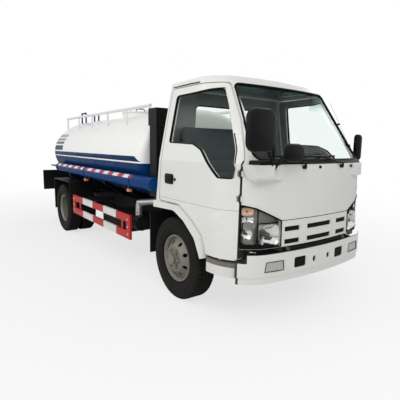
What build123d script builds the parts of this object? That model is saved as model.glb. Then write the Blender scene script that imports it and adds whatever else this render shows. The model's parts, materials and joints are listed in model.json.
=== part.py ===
"""Small cab-over water tanker truck, built as separate pieces in one shared frame.

Millimetres. +X is forward, +Y is the truck's left, +Z is up. The origin is on the ground
under the middle of the box around the whole truck. Lengths along X are given from the
front axle and moved by ahead().
"""

import math
import os

from build123d import *

# Overall stance
WHEELBASE = 3360
FRONT_TRACK = 1504
REAR_TRACK = 1425
FRONT_REACH = 1085  # front axle to the foremost point, the right mirror
REAR_REACH = 4985  # front axle to the lens faces of the tail lamps
X_FRONT_AXLE = (REAR_REACH - FRONT_REACH) / 2

# Wheels
TYRE_RADIUS = 388
TYRE_WIDTH = 212
BEAD_RADIUS = 204
RIM_FLANGE_RADIUS = 222
RIM_WIDTH = 158
TWIN_SPACING = 230
DISC_OFFSET = 104
DISC_THICKNESS = 10
HUB_RADIUS = 98
NUT_CIRCLE_RADIUS = 85
NUT_COUNT = 6
NUT_RADIUS = 15
NUT_LENGTH = 20
HAND_HOLE_COUNT = 8
HAND_HOLE_RADIUS = 19
HAND_HOLE_CIRCLE = 150

# Steering
KINGPIN_Y = 620
KINGPIN_RADIUS = 17
KINGPIN_FIT = 0.05
SPINDLE_RADIUS = 28
SPINDLE_FIT = 0.06
AXLE_EYE_RADIUS = 40
AXLE_EYE_HEIGHT = 84
YOKE_GAP = 1.0
YOKE_ARM_HEIGHT = 34
STEER_ARM_HEIGHT = 20

# Chassis frame
RAIL_OUTER_Y = 350
RAIL_HEIGHT = 190
RAIL_FLANGE = 62
RAIL_WALL = 8
RAIL_TOP_Z = 690
RAIL_FRONT = 884
RAIL_REAR = -4940
RAIL_BOTTOM_Z = RAIL_TOP_Z - RAIL_HEIGHT

# Cab tilt hinge
TILT_X = 925
TILT_Z = 620
TILT_TUBE_RADIUS = 20
TILT_TUBE_HALF = 400
TILT_FIT = 0.1

# Cab shell
CAB_WALL = 40
CAB_LOW_Z = 545
BELT_Z = 1305
ROOF_TOP_Z = 2020
ROOF_ROUND = 34
FRONT_BOW_RADIUS = 3600
GLASS_THICKNESS = 6
GLASS_SETBACK = 10
TRIM_FIT = 0.3
DOOR_GAP = 7
DOOR_HINGE_X = 793
DOOR_HINGE_Y = 774
DOOR_HINGE_PIN_RADIUS = 6
DOOR_HINGE_EYE_RADIUS = 12
DOOR_HINGE_HALF = 18
DOOR_HINGE_FIT = 0.1
DOOR_SWEEP_RADIUS = 76
FRONT_PANEL_Z = 655
BACK_PANEL_Z = 850

# Cab floor
FLOOR_Z = 868
FLOOR_THICKNESS = 26
FOOTWELL_Z = 712
FOOTWELL_X = 486
FLOOR_HALF = 806
DOOR_CLEARANCE = 9

# Bumper
BUMPER_FRONT = 996
BUMPER_WALL = 13
BUMPER_LOW_Z = 384
BUMPER_TOP_Z = 622
BUMPER_HALF = 884
BUMPER_END_X = 808
BUMPER_CORNER = 350

# Tank
TANK_FRONT = -700
TANK_REAR = -4085
TANK_HALF_WIDTH = 845
TANK_HALF_HEIGHT = 560
TANK_CENTRE_Z = 1300
TANK_KNUCKLE = 75
SADDLE_FIT = 0.3
TANK_TOP_Z = TANK_CENTRE_Z + TANK_HALF_HEIGHT

# Filling hatch
HATCH_X = -2380
HATCH_RADIUS = 250
HATCH_NECK = 45
LID_THICKNESS = 22
LID_OVERHANG = 14
LID_GAP = 0.5
LID_HINGE_RADIUS = 12
HATCH_TOP_Z = TANK_TOP_Z + HATCH_NECK

# Hose tubes along the tank
TUBE_RADIUS = 68
TUBE_Y = 852
TUBE_Z = 1050
TUBE_FRONT = -370
TUBE_REAR = -3730

# Side guards
GUARD_Y = 880
GUARD_DEPTH = 25
GUARD_FRONT = -847
GUARD_REAR = -2871
GUARD_LOW_Z = 385
GUARD_TOP_Z = 665
GUARD_RAIL = 88
GUARD_POST = 96

# Splash guards behind the front wheels
SPLASH_X = -470
SPLASH_THICKNESS = 12
SPLASH_INNER_Y = 540
SPLASH_OUTER_Y = 850
SPLASH_LOW_Z = 330
SPLASH_TOP_Z = 760

# Rear end
DECK_Z = 1046
DECK_THICKNESS = 20
DECK_FRONT = -4100
DECK_REAR = -4600
DECK_HALF = 780
BOARD_FRONT = -4940
BOARD_THICKNESS = 20
BOARD_HALF = 848
BOARD_LOW_Z = 532
BOARD_TOP_Z = 918
TOW_X = -4957
TOW_HOLE_RADIUS = 16.5

os.makedirs("parts", exist_ok=True)


def ahead(x):
    """Turns a distance ahead of the front axle into the row's X."""
    return X_FRONT_AXLE + x


def block(x0, x1, y0, y1, z0, z1):
    """Box between two corners, with x given from the front axle."""
    middle = Pos(ahead((x0 + x1) / 2), (y0 + y1) / 2, (z0 + z1) / 2)
    return middle * Box(abs(x1 - x0), abs(y1 - y0), abs(z1 - z0))


def rod(p, q, radius):
    """Round bar from p to q, both given as row points."""
    a, b = Vector(*p), Vector(*q)
    return Solid.make_cylinder(radius, (b - a).length, Plane(origin=a, z_dir=b - a))


def outline(points, radius=0.0):
    """Closed face in XY through the points, with rounded corners."""
    return make_face(FilletPolyline(*points, radius=radius, close=True))


def side_cut(points, y0, y1, radius=0.0):
    """Prism along Y of an outline in XZ, with x given from the front axle."""
    moved = [(ahead(x), z) for x, z in points]
    plane = Plane(origin=(0, y0, 0), x_dir=(1, 0, 0), z_dir=(0, -1, 0))
    return extrude(plane * outline(moved, radius), amount=y1 - y0, dir=(0, 1, 0))


def front_cut(points, x0, x1, radius=0.0):
    """Prism along X of an outline in YZ, with x given from the front axle."""
    plane = Plane(origin=(ahead(x0), 0, 0), x_dir=(0, 1, 0), z_dir=(1, 0, 0))
    return extrude(plane * outline(points, radius), amount=x1 - x0, dir=(1, 0, 0))


def both_sides(shape):
    """The piece and its mirror image across the truck's middle plane."""
    return [shape, mirror(shape, about=Plane.XZ)]


def left_of(shape):
    return mirror(shape, about=Plane.XZ)


def save(name, *shapes):
    """Writes one node; solids that don't touch share it."""
    solids = [s for shape in shapes for s in shape.solids()]
    export_step(solids[0] if len(solids) == 1 else Compound(children=solids), f"parts/{name}.step")


# Wheels
def ring(profile):
    """Turns a profile given as (radius, y) about the Y axis."""
    plane = Plane(origin=(0, 0, 0), x_dir=(1, 0, 0), z_dir=(0, 0, 1))
    return revolve(plane * profile, axis=Axis.Y)


def tyre(y):
    """One tyre centred on y, ground at its tread."""
    w = TYRE_WIDTH / 2
    points = [
        (BEAD_RADIUS, -RIM_WIDTH / 2 + 16),
        (RIM_FLANGE_RADIUS + 4, -RIM_WIDTH / 2 + 16),
        (RIM_FLANGE_RADIUS + 10, -w + 14),
        (BEAD_RADIUS + 86, -w),
        (TYRE_RADIUS - 22, -w + 9),
        (TYRE_RADIUS, -w + 26),
    ]
    points += [(r, -v) for r, v in reversed(points)]
    radii = [0, 0, 8, 40, 12, 14, 14, 12, 40, 8, 0, 0]
    return Pos(0, y, 0) * ring(outline(points, radii))


def rim(y, disc_side):
    """Steel rim centred on y; disc_side says which way its disc is set from the middle."""
    w = RIM_WIDTH / 2
    barrel = [
        (BEAD_RADIUS - TRIM_FIT - 9, -w + 22),
        (BEAD_RADIUS - TRIM_FIT - 9, w - 22),
        (RIM_FLANGE_RADIUS - 12, w),
        (RIM_FLANGE_RADIUS, w),
        (RIM_FLANGE_RADIUS, w - 6),
        (BEAD_RADIUS - TRIM_FIT, w - 14),
        (BEAD_RADIUS - TRIM_FIT, -w + 14),
        (RIM_FLANGE_RADIUS, -w + 6),
        (RIM_FLANGE_RADIUS, -w),
        (RIM_FLANGE_RADIUS - 12, -w),
    ]
    d = DISC_OFFSET * disc_side
    t = DISC_THICKNESS * disc_side
    near = (w - 40) * disc_side
    disc = [
        (SPINDLE_RADIUS + SPINDLE_FIT, d),
        (HUB_RADIUS + 22, d),
        (HAND_HOLE_CIRCLE + 24, near + 12 * disc_side),
        (BEAD_RADIUS - TRIM_FIT - 5, near),
        (BEAD_RADIUS - TRIM_FIT - 5, near - t),
        (HAND_HOLE_CIRCLE + 20, near + 12 * disc_side - t),
        (HUB_RADIUS + 18, d - t),
        (SPINDLE_RADIUS + SPINDLE_FIT, d - t),
    ]
    wheel = ring(outline(barrel)) + ring(outline(disc))
    for n in range(HAND_HOLE_COUNT):
        a = 2 * math.pi * (n + 0.5) / HAND_HOLE_COUNT
        hole = (HAND_HOLE_CIRCLE * math.cos(a), HAND_HOLE_CIRCLE * math.sin(a))
        wheel -= rod((hole[0], -160, hole[1]), (hole[0], 160, hole[1]), HAND_HOLE_RADIUS)
    return Pos(0, y, 0) * wheel


def nuts(y, outward):
    """The ring of wheel nuts standing on the plane y."""
    found = []
    for n in range(NUT_COUNT):
        a = 2 * math.pi * n / NUT_COUNT
        x, z = NUT_CIRCLE_RADIUS * math.cos(a), NUT_CIRCLE_RADIUS * math.sin(a)
        found.append(rod((x, y, z), (x, y + outward * NUT_LENGTH, z), NUT_RADIUS))
    return found


def hub(y0, y1, bore_to, cap):
    """Hub drum from y0 to y1 with a blind bore for the spindle and a cap of radius cap."""
    drum = rod((0, y0, 0), (0, y1, 0), HUB_RADIUS - 26)
    drum -= rod((0, y0, 0), (0, bore_to, 0), SPINDLE_RADIUS + SPINDLE_FIT)
    return drum + rod((0, y1, 0), (0, y1 + math.copysign(24, y1 - y0), 0), cap)


front_y = FRONT_TRACK / 2
front_spot = Pos(ahead(0), 0, TYRE_RADIUS)
disc_y = front_y + DISC_OFFSET
front_wheel = rim(front_y, 1) + hub(disc_y - 96, disc_y + 12, disc_y - 4, 52)
for nut in nuts(disc_y - 1, 1):
    front_wheel += nut
front_tyre = tyre(front_y)
save("front_tyre_left", front_spot * front_tyre)
save("front_tyre_right", front_spot * left_of(front_tyre))
save("front_wheel_left", front_spot * front_wheel)
save("front_wheel_right", front_spot * left_of(front_wheel))

rear_in = REAR_TRACK / 2 - TWIN_SPACING / 2
rear_out = REAR_TRACK / 2 + TWIN_SPACING / 2
rear_spot = Pos(ahead(-WHEELBASE), 0, TYRE_RADIUS)
twin_face = rear_out - DISC_OFFSET
rear_wheel = rim(rear_out, -1) + rim(rear_in, 1)
rear_wheel += hub(rear_in - 60, twin_face + 84, twin_face + 60, 60)
rear_wheel += rod((0, twin_face - 12, 0), (0, twin_face, 0), HUB_RADIUS + 20) - rod(
    (0, twin_face - 14, 0), (0, twin_face + 2, 0), SPINDLE_RADIUS + SPINDLE_FIT
)
for nut in nuts(twin_face - 1, 1):
    rear_wheel += nut
save("rear_tyres_left", rear_spot * tyre(rear_in), rear_spot * tyre(rear_out))
save("rear_tyres_right", rear_spot * left_of(tyre(rear_in)), rear_spot * left_of(tyre(rear_out)))
save("rear_wheel_left", rear_spot * rear_wheel)
save("rear_wheel_right", rear_spot * left_of(rear_wheel))

# Front axle, knuckles and tie rod
AXLE_Z = TYRE_RADIUS
eye_low = AXLE_Z - AXLE_EYE_HEIGHT / 2
eye_high = AXLE_Z + AXLE_EYE_HEIGHT / 2
beam = front_cut(
    [(-KINGPIN_Y, AXLE_Z - 35), (-440, AXLE_Z - 85), (440, AXLE_Z - 85), (KINGPIN_Y, AXLE_Z - 35),
     (KINGPIN_Y, AXLE_Z + 35), (420, AXLE_Z - 11), (-420, AXLE_Z - 11), (-KINGPIN_Y, AXLE_Z + 35)],
    -42, 42,
)
for y in (KINGPIN_Y, -KINGPIN_Y):
    beam -= rod((ahead(0), y, AXLE_Z - 90), (ahead(0), y, AXLE_Z + 90), AXLE_EYE_RADIUS + 8)
    beam += rod((ahead(0), y, eye_low), (ahead(0), y, eye_high), AXLE_EYE_RADIUS + 8.5)
    beam += rod((ahead(0), y, eye_low - YOKE_ARM_HEIGHT - 6), (ahead(0), y, eye_high + YOKE_ARM_HEIGHT + 6),
                KINGPIN_RADIUS)
save("front_axle_beam", beam)

arm_low = eye_low - YOKE_GAP - YOKE_ARM_HEIGHT
arm_high = eye_high + YOKE_GAP + YOKE_ARM_HEIGHT
knuckle = rod((ahead(0), KINGPIN_Y, arm_low), (ahead(0), KINGPIN_Y, arm_high), AXLE_EYE_RADIUS)
knuckle += block(-40, 40, KINGPIN_Y, KINGPIN_Y + 84, arm_low, arm_high)
knuckle -= rod((ahead(0), KINGPIN_Y, eye_low - YOKE_GAP), (ahead(0), KINGPIN_Y, eye_high + YOKE_GAP),
               AXLE_EYE_RADIUS + 14)
knuckle -= block(-60, 60, KINGPIN_Y - 80, KINGPIN_Y + 10, eye_low - YOKE_GAP, eye_high + YOKE_GAP)
knuckle -= rod((ahead(0), KINGPIN_Y, arm_low - 5), (ahead(0), KINGPIN_Y, arm_high + 5),
               KINGPIN_RADIUS + KINGPIN_FIT)
knuckle += rod((ahead(0), KINGPIN_Y + 72, TYRE_RADIUS), (ahead(0), disc_y - 12, TYRE_RADIUS), SPINDLE_RADIUS)
knuckle += rod((ahead(0), KINGPIN_Y + 72, TYRE_RADIUS), (ahead(0), KINGPIN_Y + 100, TYRE_RADIUS), 60)
steer_arm = block(-150, -36, KINGPIN_Y - 38, KINGPIN_Y - 8, arm_low, arm_low + STEER_ARM_HEIGHT)
knuckle += steer_arm - rod((ahead(0), KINGPIN_Y, arm_low - 5), (ahead(0), KINGPIN_Y, arm_high),
                           KINGPIN_RADIUS + KINGPIN_FIT)
save("knuckle_left", knuckle)
save("knuckle_right", left_of(knuckle))

# Rear axle, springs and shaft
rear_z = TYRE_RADIUS
axle_x = ahead(-WHEELBASE)
rear_axle = rod((axle_x, -(rear_in - 76), rear_z), (axle_x, rear_in - 76, rear_z), 62)
rear_axle += Pos(axle_x, 0, rear_z) * Sphere(172)
for side in (1, -1):
    rear_axle += rod((axle_x, side * (rear_in - 80), rear_z), (axle_x, side * (twin_face + 50), rear_z),
                     SPINDLE_RADIUS)
    rear_axle += block(-WHEELBASE - 60, -WHEELBASE + 60, side * 280, side * 350, rear_z, rear_z + 73.5)
save("rear_axle", rear_axle)


def spring(x, ends, end_z, mid_z, thick, y):
    """Leaf pack as a bowed band with a hanger block up to the rail at each end."""
    lower = ThreePointArc((ahead(x - ends), end_z), (ahead(x), mid_z), (ahead(x + ends), end_z))
    upper = ThreePointArc((ahead(x + ends), end_z + thick), (ahead(x), mid_z + thick),
                          (ahead(x - ends), end_z + thick))
    face = make_face(
        Curve()
        + [
            lower,
            Line((ahead(x + ends), end_z), (ahead(x + ends), end_z + thick)),
            upper,
            Line((ahead(x - ends), end_z + thick), (ahead(x - ends), end_z)),
        ]
    )
    plane = Plane(origin=(0, y - 33, 0), x_dir=(1, 0, 0), z_dir=(0, -1, 0))
    pack = extrude(plane * face, amount=66, dir=(0, 1, 0))
    for end in (x - ends, x + ends):
        pack += block(end - 42, end + 42, y - 33, y + 33, end_z + 4, RAIL_BOTTOM_Z)
    return pack


springs = []
for y in (315, -315):
    springs.append(spring(0, 610, 456, AXLE_Z - 11, 40, y))
    springs.append(spring(-WHEELBASE, 640, 444, rear_z + 74, 38, y))
save("leaf_springs", *springs)

# Chassis frame
rails = []
for side in (1, -1):
    inner_y = RAIL_OUTER_Y - RAIL_FLANGE
    rail = block(RAIL_REAR, RAIL_FRONT, side * inner_y, side * RAIL_OUTER_Y, RAIL_BOTTOM_Z, RAIL_TOP_Z)
    rail -= block(RAIL_REAR - 5, RAIL_FRONT + 5, side * (inner_y - 5), side * (RAIL_OUTER_Y - RAIL_WALL),
                  RAIL_BOTTOM_Z + RAIL_WALL, RAIL_TOP_Z - RAIL_WALL)
    rails.append(rail)
save("frame_rails", *rails)

web = RAIL_OUTER_Y - RAIL_WALL
cross = [block(x - 35, x + 35, -web, web, RAIL_TOP_Z - 98, RAIL_TOP_Z - RAIL_WALL)
         for x in (-1320, -2000, -2760, -3960, -4880)]
cross.append(block(690, 760, -web, web, RAIL_BOTTOM_Z + RAIL_WALL, RAIL_BOTTOM_Z + 90))
tilt_tube = rod((ahead(TILT_X), -TILT_TUBE_HALF, TILT_Z), (ahead(TILT_X), TILT_TUBE_HALF, TILT_Z),
                TILT_TUBE_RADIUS)
for side in (1, -1):
    tilt_tube += block(RAIL_FRONT, TILT_X, side * 296, side * 344, TILT_Z - 36, TILT_Z + 18)
cross.append(tilt_tube)
tow = block(-REAR_REACH, -4845, -45, 45, 470, 500) + block(-4915, -4845, -45, 45, 470, RAIL_TOP_Z - 98)
tow -= rod((ahead(TOW_X), 0, 460), (ahead(TOW_X), 0, 510), TOW_HOLE_RADIUS)
cross.append(tow)
save("frame_crossmembers", *cross)

power = block(-420, 440, -250, 250, 452, 832) + block(-980, -420, -150, 150, 440, 670)
save("engine_and_gearbox", power)

shaft = rod((ahead(-983), 0, 540), (ahead(-3187.6), 0, 390), 38)
save("propeller_shaft", shaft)

# Cab shell from plan sections:
# height, front on the middle line, half width, back, front corner, back corner
CAB_SECTIONS = (
    (CAB_LOW_Z, 964, 872, -420, 370, 70),
    (BELT_Z, 948, 872, -293, 370, 70),
    (ROOF_TOP_Z, 478, 734, -284, 286, 70),
)


def plan_section(z, front, half, back, front_round, back_round):
    """Plan outline of the cab at one height: bowed front, straight sides and back."""
    x = front - FRONT_BOW_RADIUS + math.sqrt(FRONT_BOW_RADIUS**2 - half**2)
    bow = ThreePointArc((ahead(x), -half), (ahead(front), 0), (ahead(x), half))
    rest = Polyline((ahead(x), half), (ahead(back), half), (ahead(back), -half), (ahead(x), -half))
    face = make_face(Curve() + [bow, rest])
    fore = face.vertices().sort_by(Axis.X)[2:]
    face = fillet(fore, front_round)
    aft = face.vertices().sort_by(Axis.X)[:2]
    return Pos(0, 0, z) * fillet(aft, back_round)


def cab_solid(inset, top_round=0.0):
    """Cab form, moved in by inset all round and at the roof."""
    rows = []
    for z, front, half, back, fore, aft in CAB_SECTIONS:
        rows.append([z, front - inset, half - inset, back + inset, fore - inset, aft - inset])
    lower = loft([plan_section(*rows[0]), plan_section(*rows[1])], ruled=True)
    share = (ROOF_TOP_Z - inset - BELT_Z) / (ROOF_TOP_Z - BELT_Z)
    top = [a + (b - a) * share for a, b in zip(rows[1], rows[2])]
    upper = loft([plan_section(*rows[1]), plan_section(*top)], ruled=True)
    form = lower + upper
    if top_round:
        edges = form.edges().filter_by(lambda e: e.center().Z > top[0] - 1)
        form = fillet(edges, top_round)
    return form


def front_face(y, z):
    """X of the cab's bowed front at this y and z, from the front axle."""
    rows = CAB_SECTIONS[:2] if z < BELT_Z else CAB_SECTIONS[1:]
    share = (z - rows[0][0]) / (rows[1][0] - rows[0][0])
    front = rows[0][1] + (rows[1][1] - rows[0][1]) * share
    return front - FRONT_BOW_RADIUS + math.sqrt(FRONT_BOW_RADIUS**2 - y**2)


cab_outer = cab_solid(0, ROOF_ROUND)
cab_inner = cab_solid(CAB_WALL)
low_front, low_half, low_back, low_fore, low_aft = CAB_SECTIONS[0][1:]
below = extrude(plan_section(CAB_LOW_Z - 50, low_front - CAB_WALL, low_half - CAB_WALL, low_back + CAB_WALL,
                             low_fore - CAB_WALL, low_aft - CAB_WALL), amount=50)
shell = cab_outer - cab_inner - below
glass_skin = cab_solid(GLASS_SETBACK) - cab_solid(GLASS_SETBACK + GLASS_THICKNESS)
front_room = block(815, 1100, -1000, 1000, 400, 2100)
lining = (cab_solid(CAB_WALL + TRIM_FIT) & front_room) + (cab_solid(CAB_WALL + DOOR_CLEARANCE) - front_room)


def up(share):
    """Height at this share of the way from the belt line to the roof."""
    return BELT_Z + share * (ROOF_TOP_Z - BELT_Z)


# Openings: doors and their windows in XZ from the front axle, front pieces in YZ
DOOR_LOW_Z = CAB_LOW_Z + 17
DOOR_OUTLINE = [
    (799, DOOR_LOW_Z), (799, up(0.035)), (762, up(0.147)), (642, up(0.467)), (497, up(0.796)),
    (446, up(0.905)), (-196, up(0.905)), (-204, BELT_Z), (-240, 918), (104, 918), (325, 803), (456, 704),
    (508, DOOR_LOW_Z),
]
DOOR_RADII = [30, 120, 0, 0, 0, 40, 40, 0, 24, 120, 60, 60, 20]
ROOF_EDGE_Z = up(0.905) + 10
WINDOW_OUTLINE = [
    (752, BELT_Z - 115), (764, BELT_Z - 35), (722, up(0.144)), (534, up(0.638)), (450, up(0.839)),
    (300, up(0.822)), (-110, up(0.814)), (-119, up(0.218)), (272, up(0.197)), (388, up(0.136)),
    (628, BELT_Z - 115),
]
WINDOW_RADII = [24, 60, 120, 0, 36, 0, 36, 30, 60, 60, 40]
SCREEN_OUTLINE = [(-676, up(0.035)), (676, up(0.035)), (572, up(0.896)), (-572, up(0.896))]
SCREEN_RADIUS = 55
BACK_WINDOW_OUTLINE = [(-465, up(0.12)), (465, up(0.12)), (440, up(0.755)), (-440, up(0.755))]
GRILLE = [(-440, 662), (440, 662), (440, 863), (-440, 863)]
LAMP = [(449, 664), (624, 683), (820, 696), (820, 1010), (675, 972), (449, 866)]
GRILLE_SLOTS = ((0, 318), (330, 164), (-330, 164))
GRILLE_ROWS = (794, 692)


def door_prism(grow):
    """Prism along Y of the left door's outline, grown by a gap all round."""
    face = make_face(FilletPolyline(*DOOR_OUTLINE, radius=DOOR_RADII, close=True))
    if grow:
        face = offset(face, grow)
    plane = Plane(origin=(ahead(0), 560, 0), x_dir=(1, 0, 0), z_dir=(0, -1, 0))
    return extrude(plane * face, amount=440, dir=(0, 1, 0))


opening = door_prism(DOOR_GAP)
body = shell - opening - left_of(opening)
front_body = body & block(600, 1100, -1000, 1000, FRONT_PANEL_Z, BELT_Z)
screen_cut = front_cut(SCREEN_OUTLINE, 330, 1100, SCREEN_RADIUS)
back_cut = front_cut(BACK_WINDOW_OUTLINE, -450, -150, 60)
grille_cut = front_cut(GRILLE, 850, 1100)
lamp_cut = front_cut(LAMP, 700, 1100)

BULGE = [(482, BELT_Z - 117), (716, BELT_Z - 117), (716, BELT_Z - 4), (482, BELT_Z - 4)]
BULGE_HEIGHT = 30
bulged = cab_solid(-BULGE_HEIGHT)
bulge = (bulged & front_cut(BULGE, 780, 1100, 22)) - cab_inner - opening
hinge_axis = (ahead(DOOR_HINGE_X), DOOR_HINGE_Y)
leaf, pins, notches = [], [], []
for z in (1045, 1235):
    low, high = z - DOOR_HINGE_HALF, z + DOOR_HINGE_HALF
    eye = rod((*hinge_axis, low), (*hinge_axis, high), DOOR_HINGE_EYE_RADIUS)
    eye += block(DOOR_HINGE_X, DOOR_HINGE_X + 24, DOOR_HINGE_Y - 24, DOOR_HINGE_Y, low, high)
    leaf.append(eye - rod((*hinge_axis, low), (*hinge_axis, high), DOOR_HINGE_PIN_RADIUS + DOOR_HINGE_FIT))
    pins.append(rod((*hinge_axis, low - 16), (*hinge_axis, high + 16), DOOR_HINGE_PIN_RADIUS))
    notches.append(block(DOOR_HINGE_X - 18, DOOR_HINGE_X + 10, DOOR_HINGE_Y - 38, DOOR_HINGE_Y + 40,
                         low - 6, high + 6))
front_panel = front_body - grille_cut - lamp_cut - left_of(lamp_cut)
for extra in (bulge, *leaf):
    front_panel += extra
    front_panel += left_of(extra)
save("cab_front_panel", front_panel)

grille = front_body & grille_cut
for y, wide in GRILLE_SLOTS:
    for z in GRILLE_ROWS:
        grille -= block(800, 1100, y - wide / 2, y + wide / 2, z - 20, z + 20)
save("grille", grille)
save("headlamps", front_body & lamp_cut, front_body & left_of(lamp_cut))

frame_zone = block(-100, 1100, -1000, 1000, BELT_Z, ROOF_EDGE_Z)
save("windscreen_frame", (body & frame_zone) - screen_cut)
save("cab_roof", shell & block(-450, 1100, -1000, 1000, ROOF_EDGE_Z, ROOF_TOP_Z + 10))

screen = (glass_skin & screen_cut) - opening - left_of(opening)
back_glass = glass_skin & back_cut
save("cab_glass", screen, back_glass)

# Doors
window_cut = side_cut(WINDOW_OUTLINE, 560, 1000, WINDOW_RADII)
door = (shell & door_prism(0)) - window_cut
for pin, notch in zip(pins, notches):
    door -= notch
    door += pin
door_glass = glass_skin & window_cut
save("door_left", door)
save("door_right", left_of(door))
save("door_glass_left", door_glass)
save("door_glass_right", left_of(door_glass))

# Cab floor, wheel arches and steps
floor = side_cut(
    [(-340, FLOOR_Z), (FOOTWELL_X, FLOOR_Z), (FOOTWELL_X, FOOTWELL_Z), (900, FOOTWELL_Z),
     (900, FOOTWELL_Z + FLOOR_THICKNESS), (FOOTWELL_X + FLOOR_THICKNESS, FOOTWELL_Z + FLOOR_THICKNESS),
     (FOOTWELL_X + FLOOR_THICKNESS, FLOOR_Z + FLOOR_THICKNESS), (-340, FLOOR_Z + FLOOR_THICKNESS)],
    -FLOOR_HALF, FLOOR_HALF,
) & (lining + (cab_solid(CAB_WALL + TRIM_FIT) & block(-450, -200, -FLOOR_HALF, FLOOR_HALF, 600, 1000)))
sweep = rod((*hinge_axis, CAB_LOW_Z), (*hinge_axis, BELT_Z), DOOR_SWEEP_RADIUS) - front_room
floor -= sweep
floor -= left_of(sweep)
for side in (1, -1):
    ear = block(TILT_X - 105, TILT_X - 35, side * 358, side * 392, TILT_Z - 20, FOOTWELL_Z)
    ear += block(TILT_X - 40, TILT_X, side * 358, side * 392, TILT_Z - 20, TILT_Z + 20)
    ear += rod((ahead(TILT_X), side * 358, TILT_Z), (ahead(TILT_X), side * 392, TILT_Z), TILT_TUBE_RADIUS + 8)
    ear -= rod((ahead(TILT_X), side * 340, TILT_Z), (ahead(TILT_X), side * 410, TILT_Z),
               TILT_TUBE_RADIUS + TILT_FIT)
    floor += ear
save("cab_floor", floor)

ARCH_INNER = [(-306, 844), (60, 860), (218, 795), (386, 670), (470, 516)]
ARCH_OUTER = [(508, 527), (450, 696), (325, 792), (104, 909), (-306, 909)]
flare = side_cut(ARCH_INNER + ARCH_OUTER, 838, 904, [0, 140, 200, 120, 0, 0, 60, 60, 120, 0])
LINER = [(-320, 844), (60, 860), (218, 795), (386, 670), (470, 516), (484, 521), (398, 682), (226, 809),
         (62, 867.7), (-320, 867.7)]
liner = side_cut(LINER, 560, 838, [0, 140, 200, 120, 0, 0, 120, 200, 140, 0]) & cab_solid(CAB_WALL + TRIM_FIT)
arch = flare + liner
save("wheel_arches", *both_sides(arch))
back_panel = body & block(-450, -100, -1000, 1000, BACK_PANEL_Z, ROOF_EDGE_Z)
back_panel = back_panel - back_cut - flare - left_of(flare)
save("cab_back_panel", back_panel)

STEP_LOW_Z, STEP_TREAD_Z, STEP_TOP_Z = 420, 472, 546
step_plan = plan_section(STEP_LOW_Z, 962, 868, 0, 368, 60)
step_inner = plan_section(STEP_LOW_Z, 942, 848, 20, 348, 40)
step_height = STEP_TOP_Z - STEP_LOW_Z
step_skin = extrude(step_plan, amount=step_height) - extrude(step_inner, amount=step_height)
step = step_skin & block(516, 796, 600, 900, 400, 600)
tread = Pos(0, 0, STEP_TREAD_Z - STEP_LOW_Z) * extrude(step_plan, amount=20)
step += tread & block(516, 796, 640, 900, 400, 600)
step += block(516, 780, 640, 656, STEP_TREAD_Z, FOOTWELL_Z)
save("cab_steps", *both_sides(step))

# Cab inside
dash = side_cut([(640, 960), (920, 960), (920, 1255), (760, 1262), (640, 1190), (600, 1100)], -760, 760,
                [40, 0, 0, 30, 50, 60]) & lining
COLUMN_LOW = (ahead(640), 400, FOOTWELL_Z + FLOOR_THICKNESS)
COLUMN_TOP = (ahead(400), 400, 1300)
lean = Vector(*COLUMN_TOP) - Vector(*COLUMN_LOW)
tilt = Plane(origin=COLUMN_TOP, z_dir=lean)
wheel = tilt * Torus(205, 15)
wheel += tilt * Cylinder(48, 40)
for turn in (90, 210, 330):
    wheel += tilt * Rot(0, 0, turn) * Pos(118, 0, 0) * Box(180, 26, 16)
column = rod(tuple(Vector(*COLUMN_LOW) - lean * 0.05), COLUMN_TOP, 26)
column = column & block(300, 900, 200, 600, FOOTWELL_Z + FLOOR_THICKNESS, 1400)
column_room = rod(tuple(Vector(*COLUMN_LOW) - lean * 0.3), COLUMN_TOP, 26 + TRIM_FIT)
save("steering_wheel", wheel + column)
save("dashboard", dash - column_room - sweep - left_of(sweep))

seats = []
for y0, y1 in ((150, 640), (-700, 40)):
    cushion = block(-40, 440, y0, y1, FLOOR_Z + FLOOR_THICKNESS, 1060)
    seat_back = side_cut([(-150, 1040), (-20, 1040), (-110, 1640), (-200, 1640)], y0, y1)
    seats.append(cushion + seat_back + block(-150, 0, y0, y1, FLOOR_Z + FLOOR_THICKNESS, 1060))
save("seats", *seats)

# Mirrors: the right-hand pair stands on the front corner, the left-hand one on its door
bulge_room = cab_solid(-BULGE_HEIGHT - TRIM_FIT)
FOOT = (ahead(962), -610, 1250)
right_mirror = fillet(block(1030, FRONT_REACH, -954, -708, 1398, 1690).edges(), 18)
right_mirror += rod((ahead(880), -610, 1250), FOOT, 26) - bulge_room
for start, end, radius in (
    (FOOT, (ahead(1045), -780, 1420), 12),
    (FOOT, (ahead(1000), -640, 1630), 11),
    ((ahead(1000), -640, 1630), (ahead(1045), -760, 1666), 11),
    (FOOT, (ahead(1015), -470, 1385), 11),
):
    right_mirror += rod(start, end, radius) + Pos(*start) * Sphere(radius)
oval_mirror = fillet(block(1000, 1042, -540, -330, 1338, 1450).edges().filter_by(Axis.X), 52)
save("mirrors_right", right_mirror + oval_mirror)

left_mirror = fillet(block(690, 738, 862, 954, 1310, 1575).edges(), 16)
for z in (1130, 1165):
    left_mirror += rod((ahead(520), 850, z), (ahead(520), 890, z), 16)
    left_mirror += rod((ahead(520), 888, z), (ahead(712), 908, z + 190), 10)
save("mirror_left", left_mirror - cab_solid(-TRIM_FIT))

# Wipers parked along the foot of the windscreen: pivot y, middle of the blade y, half its length
WIPERS = ((-230, -400, 180), (280, -10, 200))
WIPER_PIVOT_Z, WIPER_BLADE_Z, WIPER_STANDOFF = BELT_Z - 25, BELT_Z + 60, 24


def on_front(y, z, out):
    """Row point standing out from the cab's bowed front."""
    return (ahead(front_face(y, z) + out), y, z)


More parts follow.
